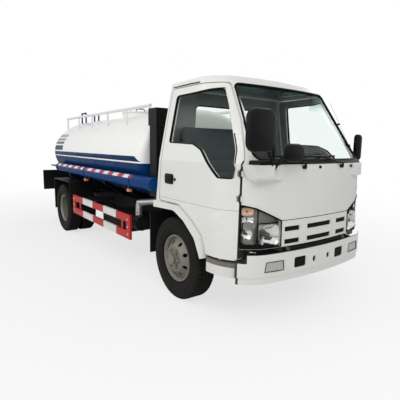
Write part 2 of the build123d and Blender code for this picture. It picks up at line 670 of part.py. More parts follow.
wipers = []
for y, middle, half in WIPERS:
    knee = on_front(y, BELT_Z, WIPER_STANDOFF)
    wiper = rod(on_front(y, WIPER_PIVOT_Z, TRIM_FIT), on_front(y, WIPER_PIVOT_Z, WIPER_STANDOFF), 15)
    wiper += rod(on_front(y, WIPER_PIVOT_Z, WIPER_STANDOFF - 8), knee, 9) + Pos(*knee) * Sphere(9)
    wiper += rod(knee, on_front(middle, WIPER_BLADE_Z, WIPER_STANDOFF), 7)
    wiper += rod(on_front(middle - half, WIPER_BLADE_Z, WIPER_STANDOFF),
                 on_front(middle + half, WIPER_BLADE_Z, WIPER_STANDOFF), 8)
    wipers.append(wiper - cab_solid(-TRIM_FIT))
save("wipers", *wipers)


# Bumper
def bow_band(front, half, wall, z0, z1, corner):
    """Curved band following the cab's plan, open at the back."""
    out = plan_section(z0, front, half, 300, corner, 40)
    inn = plan_section(z0, front - wall, half - wall, 300 + wall, corner - wall, 20)
    return extrude(out, amount=z1 - z0) - extrude(inn, amount=z1 - z0)


FOG = [(440, 476), (624, 480), (612, 556), (446, 556)]
TOW = [(196, 474), (330, 474), (330, 562), (196, 562)]
PLATE_SLOT = [(75, 492), (113, 492), (113, 542), (75, 542)]
LIP = 55
bumper = bow_band(BUMPER_FRONT, BUMPER_HALF, BUMPER_WALL, BUMPER_LOW_Z + LIP, BUMPER_TOP_Z, BUMPER_CORNER)
bumper += bow_band(BUMPER_FRONT - 8, BUMPER_HALF - 8, BUMPER_WALL, BUMPER_LOW_Z, BUMPER_LOW_Z + LIP,
                   BUMPER_CORNER - 8)
bumper = bumper & block(BUMPER_END_X, 1100, -1000, 1000, 300, 800)
fog_cut = front_cut(FOG, 800, 1100, 12)
for cut in (fog_cut, front_cut(TOW, 800, 1100, 16), front_cut(PLATE_SLOT, 800, 1100, 18)):
    bumper -= cut
    bumper -= left_of(cut)
bumper -= bow_band(BUMPER_FRONT - 7, BUMPER_HALF - 7, BUMPER_WALL - 6, BUMPER_TOP_Z - 26, BUMPER_TOP_Z + 10,
                   BUMPER_CORNER - 7)
door_room = rod((*hinge_axis, DOOR_LOW_Z - DOOR_GAP), (*hinge_axis, BUMPER_TOP_Z + 10),
                DOOR_SWEEP_RADIUS + DOOR_GAP)
bumper -= door_room
bumper -= left_of(door_room)
for side in (1, -1):
    bumper += block(RAIL_FRONT, 978, side * 340, side * 350, 506, 556)
save("front_bumper", bumper)


# Tank
def tank_slab(x0, x1, grow):
    """Elliptical slab of the tank's section between two places along the truck."""
    plane = Plane(origin=(ahead(x0), 0, TANK_CENTRE_Z), x_dir=(0, 1, 0), z_dir=(1, 0, 0))
    section = Ellipse(TANK_HALF_WIDTH + grow, TANK_HALF_HEIGHT + grow)
    return extrude(plane * section, amount=x1 - x0, dir=(1, 0, 0))


tank = tank_slab(TANK_REAR, TANK_FRONT, 0)
tank_middle = ahead((TANK_FRONT + TANK_REAR) / 2)
tank = fillet(tank.edges().filter_by(lambda e: abs(e.center().X - tank_middle) > 1000), TANK_KNUCKLE)
collar = rod((ahead(HATCH_X), 0, TANK_TOP_Z - 160), (ahead(HATCH_X), 0, HATCH_TOP_Z), HATCH_RADIUS)
lug_x = HATCH_X - HATCH_RADIUS - 30
tank += collar
for side in (1, -1):
    tank += block(lug_x - 14, lug_x + 60, side * 60, side * 84, TANK_TOP_Z - 40, HATCH_TOP_Z - 4)
    tank += rod((ahead(lug_x), side * 60, HATCH_TOP_Z), (ahead(lug_x), side * 84, HATCH_TOP_Z), 18)
    tank -= rod((ahead(lug_x), side * 50, HATCH_TOP_Z), (ahead(lug_x), side * 90, HATCH_TOP_Z),
                LID_HINGE_RADIUS)
tank += rod((ahead(lug_x), -84, HATCH_TOP_Z), (ahead(lug_x), 84, HATCH_TOP_Z), LID_HINGE_RADIUS)
save("tank_shell", tank)

lid_low, lid_high = HATCH_TOP_Z + LID_GAP, HATCH_TOP_Z + LID_GAP + LID_THICKNESS
lid = rod((ahead(HATCH_X), 0, lid_low), (ahead(HATCH_X), 0, lid_high), HATCH_RADIUS + LID_OVERHANG)
lid += block(lug_x, HATCH_X - 200, -46, 46, lid_low, lid_high)
lid += rod((ahead(lug_x), -46, HATCH_TOP_Z), (ahead(lug_x), 46, HATCH_TOP_Z), LID_HINGE_RADIUS + 11)
lid -= block(HATCH_X - HATCH_RADIUS - 4, HATCH_X, -300, 300, HATCH_TOP_Z - 40, lid_low)
lid -= rod((ahead(lug_x), -60, HATCH_TOP_Z), (ahead(lug_x), 60, HATCH_TOP_Z), LID_HINGE_RADIUS + 0.05)
save("hatch_lid", lid)

room = tank_slab(TANK_REAR - 100, TANK_FRONT + 100, SADDLE_FIT)


def tank_seat(y):
    """Block whose upper face lies just off the tank's top at this y."""
    z = TANK_HALF_HEIGHT * math.sqrt(1 - (y / TANK_HALF_WIDTH) ** 2)
    slope = math.atan(-(TANK_HALF_HEIGHT**2 / TANK_HALF_WIDTH**2) * y / z)
    seat = Plane(origin=(tank_middle, y, TANK_CENTRE_Z + z), x_dir=(1, 0, 0),
                 z_dir=(0, -math.sin(slope), math.cos(slope)))
    return seat * Pos(0, 0, SADDLE_FIT + 0.2 - 60) * Box(TANK_FRONT - TANK_REAR, 90, 120)


saddles = []
SADDLE = [(-350, RAIL_TOP_Z), (350, RAIL_TOP_Z), (640, 880), (640, 960), (-640, 960), (-640, 880)]
for x in (-850, -1550, -2250, -2880, -3900):
    saddles.append(front_cut(SADDLE, x - 30, x + 30) - room)
save("tank_saddles", *saddles)

MARKER_PLACES = (-902, -2322)
MARKER_TOP_Z = TUBE_Z - 95
tubes = []
for side in (1, -1):
    y = side * TUBE_Y
    tube = rod((ahead(TUBE_REAR), y, TUBE_Z), (ahead(TUBE_FRONT), y, TUBE_Z), TUBE_RADIUS)
    for x in (-850, -2320, -3660):
        tube += rod((ahead(x - 22), y, TUBE_Z), (ahead(x + 22), y, TUBE_Z), TUBE_RADIUS + 6)
        tube += block(x - 22, x + 22, side * 700, y, TUBE_Z - 20, TUBE_Z + 20) - room
    for x in MARKER_PLACES:
        tube += block(x - 20, x + 20, side * (TUBE_Y + 12), side * (TUBE_Y + 40), MARKER_TOP_Z, TUBE_Z)
    tubes.append(tube)
save("hose_tubes", *tubes)

top_rails = []
RAIL_Y, RAIL_Z = 600, TANK_TOP_Z + 20
for side in (1, -1):
    top = rod((ahead(-4020), side * RAIL_Y, RAIL_Z), (ahead(-915), side * RAIL_Y, RAIL_Z), 19)
    for n in range(6):
        x = -4005 + n * 3075 / 5
        post = rod((ahead(x), side * RAIL_Y, RAIL_Z - 240), (ahead(x), side * RAIL_Y, RAIL_Z), 14)
        top += post - tank_seat(side * RAIL_Y)
    top_rails.append(top)
save("tank_top_rails", *top_rails)

# Side guards, mudguards and boxes on the frame
guards = []
for side in (1, -1):
    y0, y1 = side * GUARD_Y, side * (GUARD_Y + GUARD_DEPTH)
    guard = block(GUARD_REAR, GUARD_FRONT, y0, y1, GUARD_LOW_Z, GUARD_LOW_Z + GUARD_RAIL)
    guard += block(GUARD_REAR, GUARD_FRONT, y0, y1, GUARD_TOP_Z - GUARD_RAIL, GUARD_TOP_Z)
    for x in (GUARD_REAR, GUARD_FRONT - GUARD_POST):
        guard += block(x, x + GUARD_POST, y0, y1, GUARD_LOW_Z, GUARD_TOP_Z)
    for x in (-2640, -1130):
        guard += block(x, x + 50, side * RAIL_OUTER_Y, y0, 580, 630)
        guard += block(x, x + 50, side * (GUARD_Y - 40), y0, GUARD_LOW_Z, 630)
    guards.append(guard)
save("side_guards", *guards)

fuel = fillet(block(-1960, -1160, 390, 800, 372, 570).edges(), 40) + block(-1860, -1800, 350, 420, 470, 560)
fuel += block(-1320, -1260, 350, 420, 470, 560)
save("fuel_tank", fuel)
battery = block(-1900, -1180, -800, -390, 390, 570) + block(-1860, -1800, -420, -350, 470, 560)
battery += block(-1320, -1260, -420, -350, 470, 560)
save("battery_box", battery)

fenders = []
for side in (1, -1):
    fender = front_cut([(side * 472, 640), (side * 484, 640), (side * 484, 808), (side * 560, 840),
                        (side * 930, 840), (side * 930, 852), (side * 558, 852), (side * 472, 815)],
                       -3825, -2945)
    fender += block(-2957, -2945, side * 560, side * 930, 560, 852)
    fender += block(-3825, -3813, side * 560, side * 930, 330, 852)
    for x in (-3120, -3640):
        fender += block(x, x + 40, side * RAIL_OUTER_Y, side * 484, 640, 670)
    fenders.append(fender)
save("rear_mudguards", *fenders)

# Splash guards behind the front wheels, each one plate with a tongue to its rail
splash = []
for side in (1, -1):
    inner, outer = side * SPLASH_INNER_Y, side * SPLASH_OUTER_Y
    plate = [(side * RAIL_OUTER_Y, 640), (inner, 600), (inner, SPLASH_LOW_Z), (outer, SPLASH_LOW_Z),
             (outer, SPLASH_TOP_Z), (inner, SPLASH_TOP_Z), (side * RAIL_OUTER_Y, RAIL_TOP_Z)]
    splash.append(front_cut(plate, SPLASH_X - SPLASH_THICKNESS, SPLASH_X))
save("front_splash_guards", *splash)

# Air intake behind the cab, and the filter under it
INTAKE_LOW_Z = 900
intake = block(-620, -480, -770, -640, INTAKE_LOW_Z, 1640) + block(-640, -470, -775, -630, 1640, 1812)
intake += block(-600, -560, -662, -640, 630, INTAKE_LOW_Z) + block(-600, -560, -662, -RAIL_OUTER_Y, 630, 680)
intake += rod((ahead(-905), -720, 540), (ahead(-1065), -720, 540), 84)
intake += block(-1000, -960, -650, -RAIL_OUTER_Y, 520, 560)
save("air_intake", intake)

# Pipe from the intake down to the filter, as (x, z) corners at one y
INTAKE_PIPE = ((-522, INTAKE_LOW_Z - TRIM_FIT), (-522, 850), (-1001, 773), (-1021, 600))
corners = [(ahead(x), -706, z) for x, z in INTAKE_PIPE]
pipe = rod(corners[0], corners[1], 36)
for start, end in zip(corners[1:], corners[2:]):
    pipe += Pos(*start) * Sphere(36) + rod(start, end, 36)
save("intake_pipe", pipe - rod((ahead(-900), -720, 540), (ahead(-1070), -720, 540), 84 + TRIM_FIT))

# Rear deck, ladder, board and lamps
deck = block(DECK_REAR, DECK_FRONT, -DECK_HALF, DECK_HALF, DECK_Z - DECK_THICKNESS, DECK_Z)
for x in (-4200, -4540):
    for side in (1, -1):
        deck += block(x, x + 60, side * 290, side * 345, RAIL_TOP_Z, DECK_Z)
save("rear_deck", deck)

ladder = []
LADDER_TOP_Z = TANK_TOP_Z + 140
LADDER_X, LADDER_REACH_X = -4165, -3950
for y in (-290, -50):
    low, high = (ahead(LADDER_X), y, DECK_Z), (ahead(LADDER_X), y, LADDER_TOP_Z)
    over, foot = (ahead(LADDER_REACH_X), y, LADDER_TOP_Z), (ahead(LADDER_REACH_X), y, TANK_TOP_Z - 100)
    ladder += [rod(low, high, 14), rod(high, over, 14), rod(over, foot, 14)]
    ladder += [Pos(*high) * Sphere(14), Pos(*over) * Sphere(14)]
for n in range(3):
    z = DECK_Z + 204 + n * 240
    ladder.append(rod((ahead(LADDER_X), -290, z), (ahead(LADDER_X), -50, z), 12))
whole = ladder[0]
for piece in ladder[1:]:
    whole += piece
save("rear_ladder", whole - tank_seat(-290) - tank_seat(-50))

board = block(BOARD_FRONT - BOARD_THICKNESS, BOARD_FRONT, -BOARD_HALF, BOARD_HALF, BOARD_LOW_Z, BOARD_TOP_Z)
save("rear_board", board)

lamps = []
back = BOARD_FRONT - BOARD_THICKNESS
for side in (1, -1):
    lamps.append(block(-REAR_REACH, back, side * 520, side * 820, 620, 740))
    lamps.append(front_cut([(side * y, z) for y, z in FOG], 800, 1100, 12)
                 & bow_band(BUMPER_FRONT - 3, BUMPER_HALF - 3, 14, 470, 570, BUMPER_CORNER - 3))
    for x in MARKER_PLACES:
        lamps.append(block(x - 32, x + 32, side * (TUBE_Y + 8), side * (TUBE_Y + 44),
                           MARKER_TOP_Z - 30, MARKER_TOP_Z - TRIM_FIT))
save("chassis_lamps", *lamps)

# Water outlet
outlet = rod((ahead(-4130), 460, 970), (ahead(-4700), 460, 970), 52)
outlet -= rod((ahead(-4500), 460, 970), (ahead(-4710), 460, 970), 38)
outlet += block(-4190, -4130, 430, 490, 930, 1026)
save("water_outlet", outlet)
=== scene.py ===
# %% [markdown]
# # A small water tanker truck
# The truck's pieces come from its CAD model with their real sizes. This lesson gives them
# their paint, rubber and glass, and adds the thin trim that a designer leaves out of the
# solids: tyre treads, window seals, lamp reflectors, tape and stitching.

# %% Load the frame
import json
import math

import bmesh
import bpy
from mathutils import Matrix, Vector
from mathutils.bvhtree import BVHTree


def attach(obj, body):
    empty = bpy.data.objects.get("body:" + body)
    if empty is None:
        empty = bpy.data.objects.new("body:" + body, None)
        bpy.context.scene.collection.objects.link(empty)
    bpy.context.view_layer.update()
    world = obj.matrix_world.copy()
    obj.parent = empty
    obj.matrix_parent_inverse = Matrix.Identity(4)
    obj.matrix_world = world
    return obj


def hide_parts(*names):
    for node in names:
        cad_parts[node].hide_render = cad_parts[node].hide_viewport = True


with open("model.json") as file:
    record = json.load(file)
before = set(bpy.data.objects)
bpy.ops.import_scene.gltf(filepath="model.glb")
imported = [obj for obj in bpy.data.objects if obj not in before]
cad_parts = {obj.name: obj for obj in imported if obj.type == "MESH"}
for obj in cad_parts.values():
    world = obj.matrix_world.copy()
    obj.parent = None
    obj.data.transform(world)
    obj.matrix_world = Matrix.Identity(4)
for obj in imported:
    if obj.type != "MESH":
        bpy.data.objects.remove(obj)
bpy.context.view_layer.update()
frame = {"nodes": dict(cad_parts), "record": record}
nodes = frame["nodes"]

FRONT_AXLE = 1.95  # X of the front axle in the frame
FORWARD, ACROSS, UPWARDS = Vector((1, 0, 0)), Vector((0, 1, 0)), Vector((0, 0, 1))
SIDES = (("left", 1), ("right", -1))


def ahead(x):
    """Millimetres ahead of the front axle, as the frame's X in metres."""
    return FRONT_AXLE + x / 1000


def mm(*values):
    """Millimetres as metres."""
    return [v / 1000 for v in values]


def spot(x, y, z):
    """A point given in millimetres from the front axle."""
    return Vector((ahead(x), y / 1000, z / 1000))


def spots(points):
    return [spot(*p) for p in points]


def add_object(name, data):
    """A new object in the scene, standing at the origin."""
    item = bpy.data.objects.new(name, data)
    bpy.context.scene.collection.objects.link(item)
    return item


# %% [markdown]
# ## The camera
# The photograph was taken at head height in front of the right-hand corner. A camera is
# rebuilt from its place, its three axes and its lens, so that the render lines up.

# %% Camera
CAMERA_PLACE = (2815.7, -2617.2, 1435.1)
CAMERA_YAW, CAMERA_PITCH, CAMERA_ROLL = (math.radians(d) for d in (143.874, 8.410, 0.792))
LENS_MM, SENSOR_MM, FARTHEST = 32.859, 36, 200

view_line = Vector((
    math.cos(CAMERA_YAW) * math.cos(CAMERA_PITCH),
    math.sin(CAMERA_YAW) * math.cos(CAMERA_PITCH),
    -math.sin(CAMERA_PITCH),
))
level = Vector((math.sin(CAMERA_YAW), -math.cos(CAMERA_YAW), 0))
upright = level.cross(view_line)
camera_x = math.cos(CAMERA_ROLL) * level + math.sin(CAMERA_ROLL) * upright
camera_y = -math.sin(CAMERA_ROLL) * level + math.cos(CAMERA_ROLL) * upright
camera_turn = Matrix((camera_x, camera_y, -view_line)).transposed().to_4x4()
camera_data = bpy.data.cameras.new("photo_camera")
camera_data.lens, camera_data.sensor_width, camera_data.clip_end = LENS_MM, SENSOR_MM, FARTHEST
camera = add_object("photo_camera", camera_data)
camera.matrix_world = Matrix.Translation(spot(*CAMERA_PLACE)) @ camera_turn
bpy.context.scene.camera = camera
bpy.context.scene.view_settings.view_transform = "Standard"
print("camera at", tuple(round(v, 3) for v in camera.location))

# %% [markdown]
# ## Node helpers
# Light, paint and repeated pieces are all built from nodes. A few helpers keep the trees
# short: one adds a node with its settings and links, the others are bits of arithmetic.


# %% Node helpers
def link(tree, a, b):
    tree.links.new(a, b)


def put(tree, kind, links=(), **values):
    """A node with its settings, and its inputs set or linked by place or name."""
    node = tree.nodes.new(kind)
    for key, value in values.items():
        setattr(node, key, value)
    for where, source in links:
        if isinstance(source, (int, float, tuple)):
            node.inputs[where].default_value = source
        else:
            link(tree, source, node.inputs[where])
    return node


def calc(operation, *sources, clamp=False):
    """A math node's result, in the tree that its sources belong to."""
    tree = next(s.id_data for s in sources if isinstance(s, bpy.types.NodeSocket))
    return put(tree, "ShaderNodeMath", enumerate(sources), operation=operation, use_clamp=clamp).outputs[0]


def choose(mask, off, on):
    """The colour on where mask is 1, and off elsewhere."""
    links = [("Factor", mask), (6, off), (7, on)]
    return put(mask.id_data, "ShaderNodeMix", links, data_type="RGBA").outputs[2]


# %% [markdown]
# ## Light and floor
# Car photographs use large soft lights, because paint shows whatever it reflects. The sky
# here is an even white dome, and three big panels shape the front and the sides. Camera,
# mirror and glass rays see plain white, so the background stays clean without extra light
# on the truck.

# %% Light
SKY_TINT, SKY_LIGHT, PLAIN_WHITE = (0.97, 0.985, 1, 1), 0.46, (1, 1, 1, 1)
# name, place in mm from the front axle, aim, size in m, watts
LIGHTS = (
    ("key_panel", (4200, -3600, 5200), (-800, 0, 1000), 5.0, 170),
    ("side_panel", (-2600, -6500, 3800), (-2000, 0, 1000), 5.5, 115),
    ("far_panel", (-1500, 6500, 4200), (-1500, 0, 1000), 5.0, 110),
)
world = bpy.data.worlds.new("white_studio")
world.use_nodes = True
bpy.context.scene.world = world
sky = world.node_tree
sky.nodes.clear()
lit = put(sky, "ShaderNodeBackground", [("Color", SKY_TINT), ("Strength", SKY_LIGHT)]).outputs[0]
seen = put(sky, "ShaderNodeBackground", [("Color", PLAIN_WHITE), ("Strength", 1)]).outputs[0]
rays = put(sky, "ShaderNodeLightPath").outputs
plain = calc("MAXIMUM", rays["Is Camera Ray"], rays["Is Glossy Ray"])
plain = calc("MAXIMUM", plain, rays["Is Transmission Ray"])
dome = put(sky, "ShaderNodeMixShader", [("Fac", plain), (1, lit), (2, seen)]).outputs[0]
put(sky, "ShaderNodeOutputWorld", [("Surface", dome)])

for name, stand, aim, size, watts in LIGHTS:
    panel = bpy.data.lights.new(name, "AREA")
    panel.shape, panel.size, panel.energy = "DISK", size, watts
    lamp = add_object(name, panel)
    lamp.location = spot(*stand)
    lamp.rotation_euler = (spot(*aim) - spot(*stand)).to_track_quat("-Z", "Y").to_euler()
print("lights", len(LIGHTS))

# %% Floor
FLOOR_HALF = 40
FLOOR_GREY, FLOOR_ROUGH = (0.9, 0.9, 0.9, 1), 0.9
# the floor's own white in the picture grows with the distance from the truck, in metres
GLOW_NEAR, GLOW_FAR, GLOW_LEAST = 2.5, 8.0, 0.7

floor_mesh = bpy.data.meshes.new("studio_floor")
corners = [(x * FLOOR_HALF, y * FLOOR_HALF, 0) for x, y in ((-1, -1), (1, -1), (1, 1), (-1, 1))]
floor_mesh.from_pydata(corners, [], [(0, 1, 2, 3)])
add_object("studio_floor", floor_mesh)
floor_look = bpy.data.materials.new("pale_floor")
floor_look.use_nodes = True
tree = floor_look.node_tree
shade = tree.nodes["Principled BSDF"]
shade.inputs["Base Color"].default_value = FLOOR_GREY
shade.inputs["Roughness"].default_value = FLOOR_ROUGH
glow = put(tree, "ShaderNodeEmission", [("Color", PLAIN_WHITE)]).outputs[0]
from_middle = put(tree, "ShaderNodeTexCoord").outputs["Object"]
distance = put(tree, "ShaderNodeVectorMath", [(0, from_middle)], operation="LENGTH").outputs["Value"]
away = put(tree, "ShaderNodeMapRange", [
    ("Value", distance), ("From Min", GLOW_NEAR), ("From Max", GLOW_FAR),
    ("To Min", GLOW_LEAST), ("To Max", 1.0),
]).outputs["Result"]
share = calc("MULTIPLY", put(tree, "ShaderNodeLightPath").outputs["Is Camera Ray"], away)
blend = put(tree, "ShaderNodeMixShader", [("Fac", share), (1, shade.outputs[0]), (2, glow)]).outputs[0]
link(tree, blend, tree.nodes["Material Output"].inputs["Surface"])
floor_mesh.materials.append(floor_look)

# %% [markdown]
# ## Shared effects
# Two things happen to every finish on a working truck: dust settles on the low parts, and
# no surface is perfectly even. Each effect is a node group, built once and given its own
# values in each material. The groups read Object coordinates, so they stay with the piece.

# %% Effect groups
NUMBER, COLOUR = "NodeSocketFloat", "NodeSocketColor"
PATCH_SCALE, SPECK_SCALE, SPECK_SHARE = 3.5, 42.0, 0.4
PATCH_ROUGH, DUST_ROUGH = 0.05, 0.5


def new_group(name, inputs, outputs):
    """A shader group with its named sockets, and its two end nodes."""
    group = bpy.data.node_groups.new(name, "ShaderNodeTree")
    for label, kind, value in inputs:
        socket = group.interface.new_socket(label, in_out="INPUT", socket_type=kind)
        socket.default_value = value
    for label, kind in outputs:
        group.interface.new_socket(label, in_out="OUTPUT", socket_type=kind)
    return group, group.nodes.new("NodeGroupInput"), group.nodes.new("NodeGroupOutput")


def noise(tree, scale, **more):
    """An even noise over the piece."""
    found = put(tree, "ShaderNodeTexCoord").outputs["Object"]
    settings = [("Vector", found), ("Scale", scale)] + list(more.items())
    return put(tree, "ShaderNodeTexNoise", settings).outputs["Fac"]


dust, dust_in, dust_out = new_group(
    "road_dust",
    [("Paint", COLOUR, (0.8, 0.8, 0.8, 1)), ("Dust", COLOUR, (0.3, 0.27, 0.22, 1)), ("Amount", NUMBER, 0.4),
     ("Reach", NUMBER, 1.0), ("Smooth", NUMBER, 0.3)],
    [("Color", COLOUR), ("Roughness", NUMBER)],
)
given = dust_in.outputs
found = put(dust, "ShaderNodeTexCoord").outputs["Object"]
height = put(dust, "ShaderNodeSeparateXYZ", [(0, found)]).outputs["Z"]
patches = noise(dust, PATCH_SCALE, Detail=6.0, Roughness=0.62)
specks = noise(dust, SPECK_SCALE, Detail=3.0)
low = calc("SUBTRACT", 1.0, calc("DIVIDE", height, given["Reach"]), clamp=True)
spread = calc("ADD", patches, calc("MULTIPLY", specks, SPECK_SHARE))
mask = calc("MULTIPLY", calc("MULTIPLY", low, spread), given["Amount"], clamp=True)
link(dust, choose(mask, given["Paint"], given["Dust"]), dust_out.inputs["Color"])
uneven = calc("ADD", given["Smooth"], calc("MULTIPLY", patches, PATCH_ROUGH))
rough = calc("ADD", uneven, calc("MULTIPLY", mask, DUST_ROUGH), clamp=True)
link(dust, rough, dust_out.inputs["Roughness"])

grain, grain_in, grain_out = new_group(
    "surface_grain", [("Scale", NUMBER, 400.0), ("Depth", NUMBER, 0.2)], [("Height", NUMBER)]
)
bumps = noise(grain, grain_in.outputs["Scale"], Detail=2.0)
link(grain, calc("MULTIPLY", bumps, grain_in.outputs["Depth"]), grain_out.inputs["Height"])
print("effect groups", dust.name, grain.name)

# %% [markdown]
# ## Finishes
# Each finish is one Principled shader with the two effects in front of it. Paint carries a
# clear coat, rubber has none, and steel is metallic. Where a piece has more than one colour,
# the colours follow its place, so that no edge has to be cut into the mesh.

# %% Finish helpers
COAT_ROUGH, BUMP_STRENGTH, BUMP_DEPTH = 0.08, 0.25, 0.002


def finish(name, colour, smooth, metal=0.0, coat=0.0, dirt=0.35, reach=1.1, scale=500.0, depth=0.15,
           shine=0.5, pattern=None):
    """A dusty, slightly uneven finish; pattern may replace its even colour."""
    look = bpy.data.materials.new(name)
    look.use_nodes = True
    tree = look.node_tree
    shader = tree.nodes["Principled BSDF"]
    shader.inputs["Metallic"].default_value = metal
    shader.inputs["Coat Weight"].default_value = coat
    shader.inputs["Coat Roughness"].default_value = COAT_ROUGH
    shader.inputs["Specular IOR Level"].default_value = shine
    paint = pattern(tree) if pattern else (*colour, 1)
    dirty = put(tree, "ShaderNodeGroup", node_tree=dust,
                links=[("Paint", paint), ("Amount", dirt), ("Reach", reach), ("Smooth", smooth)])
    link(tree, dirty.outputs["Color"], shader.inputs["Base Color"])
    link(tree, dirty.outputs["Roughness"], shader.inputs["Roughness"])
    uneven = put(tree, "ShaderNodeGroup", node_tree=grain, links=[("Scale", scale), ("Depth", depth)])
    bump = put(tree, "ShaderNodeBump", [
        ("Strength", BUMP_STRENGTH), ("Distance", BUMP_DEPTH), ("Height", uneven.outputs["Height"]),
    ])
    link(tree, bump.outputs[0], shader.inputs["Normal"])
    return look


def axes(tree, output="Object"):
    """The piece's X, Y and Z; with Normal, the way its faces point."""
    found = put(tree, "ShaderNodeTexCoord").outputs[output]
    return list(put(tree, "ShaderNodeSeparateXYZ", [(0, found)]).outputs)


def above(value, limit):
    return calc("GREATER_THAN", value, limit)


def below(value, limit):
    return calc("LESS_THAN", value, limit)


def both(a, b):
    return calc("MULTIPLY", a, b)


def between(value, low, high):
    """1 where the value lies between low and high."""
    return both(above(value, low), below(value, high))


def within(a, b, middle, radius):
    """1 within a radius of a middle, in the plane of a and b."""
    aside = [calc("SUBTRACT", value, m) for value, m in zip((a, b), middle)]
    squares = calc("ADD", *(calc("MULTIPLY", d, d) for d in aside))
    return below(squares, radius * radius)


WHITE = (0.78, 0.775, 0.735, 1)
TANK_WHITE = (0.95, 0.945, 0.915, 1)
BLUE = (0.002, 0.036, 0.135, 1)
DEEP_BLUE = (0.002, 0.026, 0.092, 1)
TUBE_BLUE = (0.002, 0.042, 0.165, 1)
RED = (0.50, 0.014, 0.010, 1)
BLACK = (0.006, 0.006, 0.007, 1)
LINING = (0.25, 0.25, 0.24, 1)

# %% [markdown]
# The tank is white above and blue below, parted by a white line. A darker stripe runs along
# it to a slanting end, and shorter bars step up at the back, each paler than the one below.
# The mouth of the filling neck, which shows when the lid is open, is painted black as painted shade in place
# of an open hole.

# %% Tank paint
BLUE_TOP, LINE_TOP, STRIPE_TOP = mm(1240, 1257, 1316)
STRIPE_END, STRIPE_SLANT = ahead(-722), 2.0
BARS_START = ahead(-3560)
# bar low and high in mm, and how far its blue fades to white
BARS = ((1337, 1415, 0.0), (1438, 1482, 0.12), (1498, 1532, 0.25), (1552, 1600, 0.4))
HATCH_X = -2380
MOUTH_RADIUS, MOUTH_Z = 0.242, 1.80


def tank_paint(tree):
    x, y, z = axes(tree)
    paint = choose(below(z, BLUE_TOP), TANK_WHITE, BLUE)
    slant = calc("MULTIPLY", calc("SUBTRACT", z, LINE_TOP), STRIPE_SLANT)
    started = below(calc("ADD", x, slant), STRIPE_END)
    paint = choose(both(between(z, LINE_TOP, STRIPE_TOP), started), paint, DEEP_BLUE)
    behind = below(x, BARS_START)
    for low, high, fade in BARS:
        tint = tuple(b + (w - b) * fade for b, w in zip(BLUE, TANK_WHITE))
        paint = choose(both(behind, between(z, *mm(low, high))), paint, tint)
    # painted shade: the tank's top inside the neck is black, standing in for the shade of the open hole
    mouth_painted_shade = within(x, y, (ahead(HATCH_X), 0.0), MOUTH_RADIUS)
    return choose(both(mouth_painted_shade, above(z, MOUTH_Z)), paint, BLACK)


# %% [markdown]
# The side guards are banded red and white. The hose tubes carry a strip of reflecting tape
# on their upper outer side: whether a point is on the tape follows from its height and its
# distance from the middle of the truck.

# %% Guard and tube paint
GUARD_BANDS = ((-2419, -2018), (-1633, -1228))  # white bands, mm from the front axle
GUARD_INSIDE = 0.878  # the arms behind the boards are black
TAPE_SPANS = ((-3640, -2345), (-2296, -800))
TAPE_BLOCK, TAPE_SIDE = 0.29, 0.866
TAPE_LOW, TAPE_HIGH = mm(1080, 1114)
TAPE_RED, TAPE_WHITE = (0.55, 0.06, 0.06, 1), (0.82, 0.83, 0.85, 1)


def guard_paint(tree):
    x, y, z = axes(tree)
    paint = RED
    for low, high in GUARD_BANDS:
        paint = choose(between(x, ahead(low), ahead(high)), paint, WHITE)
    return choose(below(calc("ABSOLUTE", y), GUARD_INSIDE), paint, BLACK)


def tube_paint(tree):
    x, y, z = axes(tree)
    outside = above(calc("ABSOLUTE", y), TAPE_SIDE)
    strip_mask = both(outside, between(z, TAPE_LOW, TAPE_HIGH))
    even = above(calc("PINGPONG", x, TAPE_BLOCK / 2), TAPE_BLOCK / 4)
    tape = choose(even, TAPE_RED, TAPE_WHITE)
    paint = TUBE_BLUE
    for low, high in TAPE_SPANS:
        spanned = both(strip_mask, between(x, ahead(low), ahead(high)))
        paint = choose(spanned, paint, tape)
    return paint


# %% [markdown]
# The gaps between the doors and the cab are painted black as painted shade, and a grey line painted along
# each door is the painted shade of its fold. The hinge eyes of the panel ahead, which stand in the gap, are
# painted black as shade too. The bumper's top, under the grille, and its end are painted black as the shade
# of the gaps there, and so is the hollow at its end that the door swings through. The step under the door has
# a grey band of painted shade for its foot hollow and a black top of painted shadow under the door. Inside,
# the roof, the back wall and the doors have a grey lining, found by the way their faces point.

# %% Cab paint
DOOR_FRONT, DOOR_GAP_TOP, DOOR_SIDE = ahead(802.5), 1.33, 0.70
GAP_HALF = 0.009
FOLD_LOW, FOLD_HIGH = mm(950, 953.5)
# both greys are painted shade: the fold's crease on the door and the foot hollow of the step
FOLD_PAINTED_SHADE, STEP_PAINTED_SHADE = (0.30, 0.30, 0.28, 1), (0.13, 0.12, 0.095, 1)
BUMPER_TOP, BUMPER_END = 0.619, ahead(824)
DOOR_HINGE, DOOR_ROOM, HOLLOW_LOW = (ahead(793), 0.774), 0.0845, 0.553
STEP_RECESS, STEP_GAP = mm(500, 537)
EYE_FRONT, EYE_SIDE = ahead(806), 0.735
INWARD = 0.3  # how clearly a face points inwards


def roof_paint(tree):
    return choose(below(axes(tree, "Normal")[2], -INWARD), WHITE, LINING)


def back_paint(tree):
    return choose(above(axes(tree, "Normal")[0], INWARD), WHITE, LINING)


def door_paint(tree):
    x, y, z = axes(tree)
    # painted shade: a grey line along the door stands for the shade in its fold
    paint = choose(between(z, FOLD_LOW, FOLD_HIGH), WHITE, FOLD_PAINTED_SHADE)
    inward = below(calc("MULTIPLY", y, axes(tree, "Normal")[1]), -INWARD)
    paint = choose(inward, paint, LINING)
    # painted shade: the door's front edge is painted black as the shade in the gap ahead of it
    gap_painted_shade = between(x, DOOR_FRONT - GAP_HALF, DOOR_FRONT + GAP_HALF)
    side = above(calc("ABSOLUTE", y), DOOR_SIDE)
    return choose(both(side, both(below(z, DOOR_GAP_TOP), gap_painted_shade)), paint, BLACK)


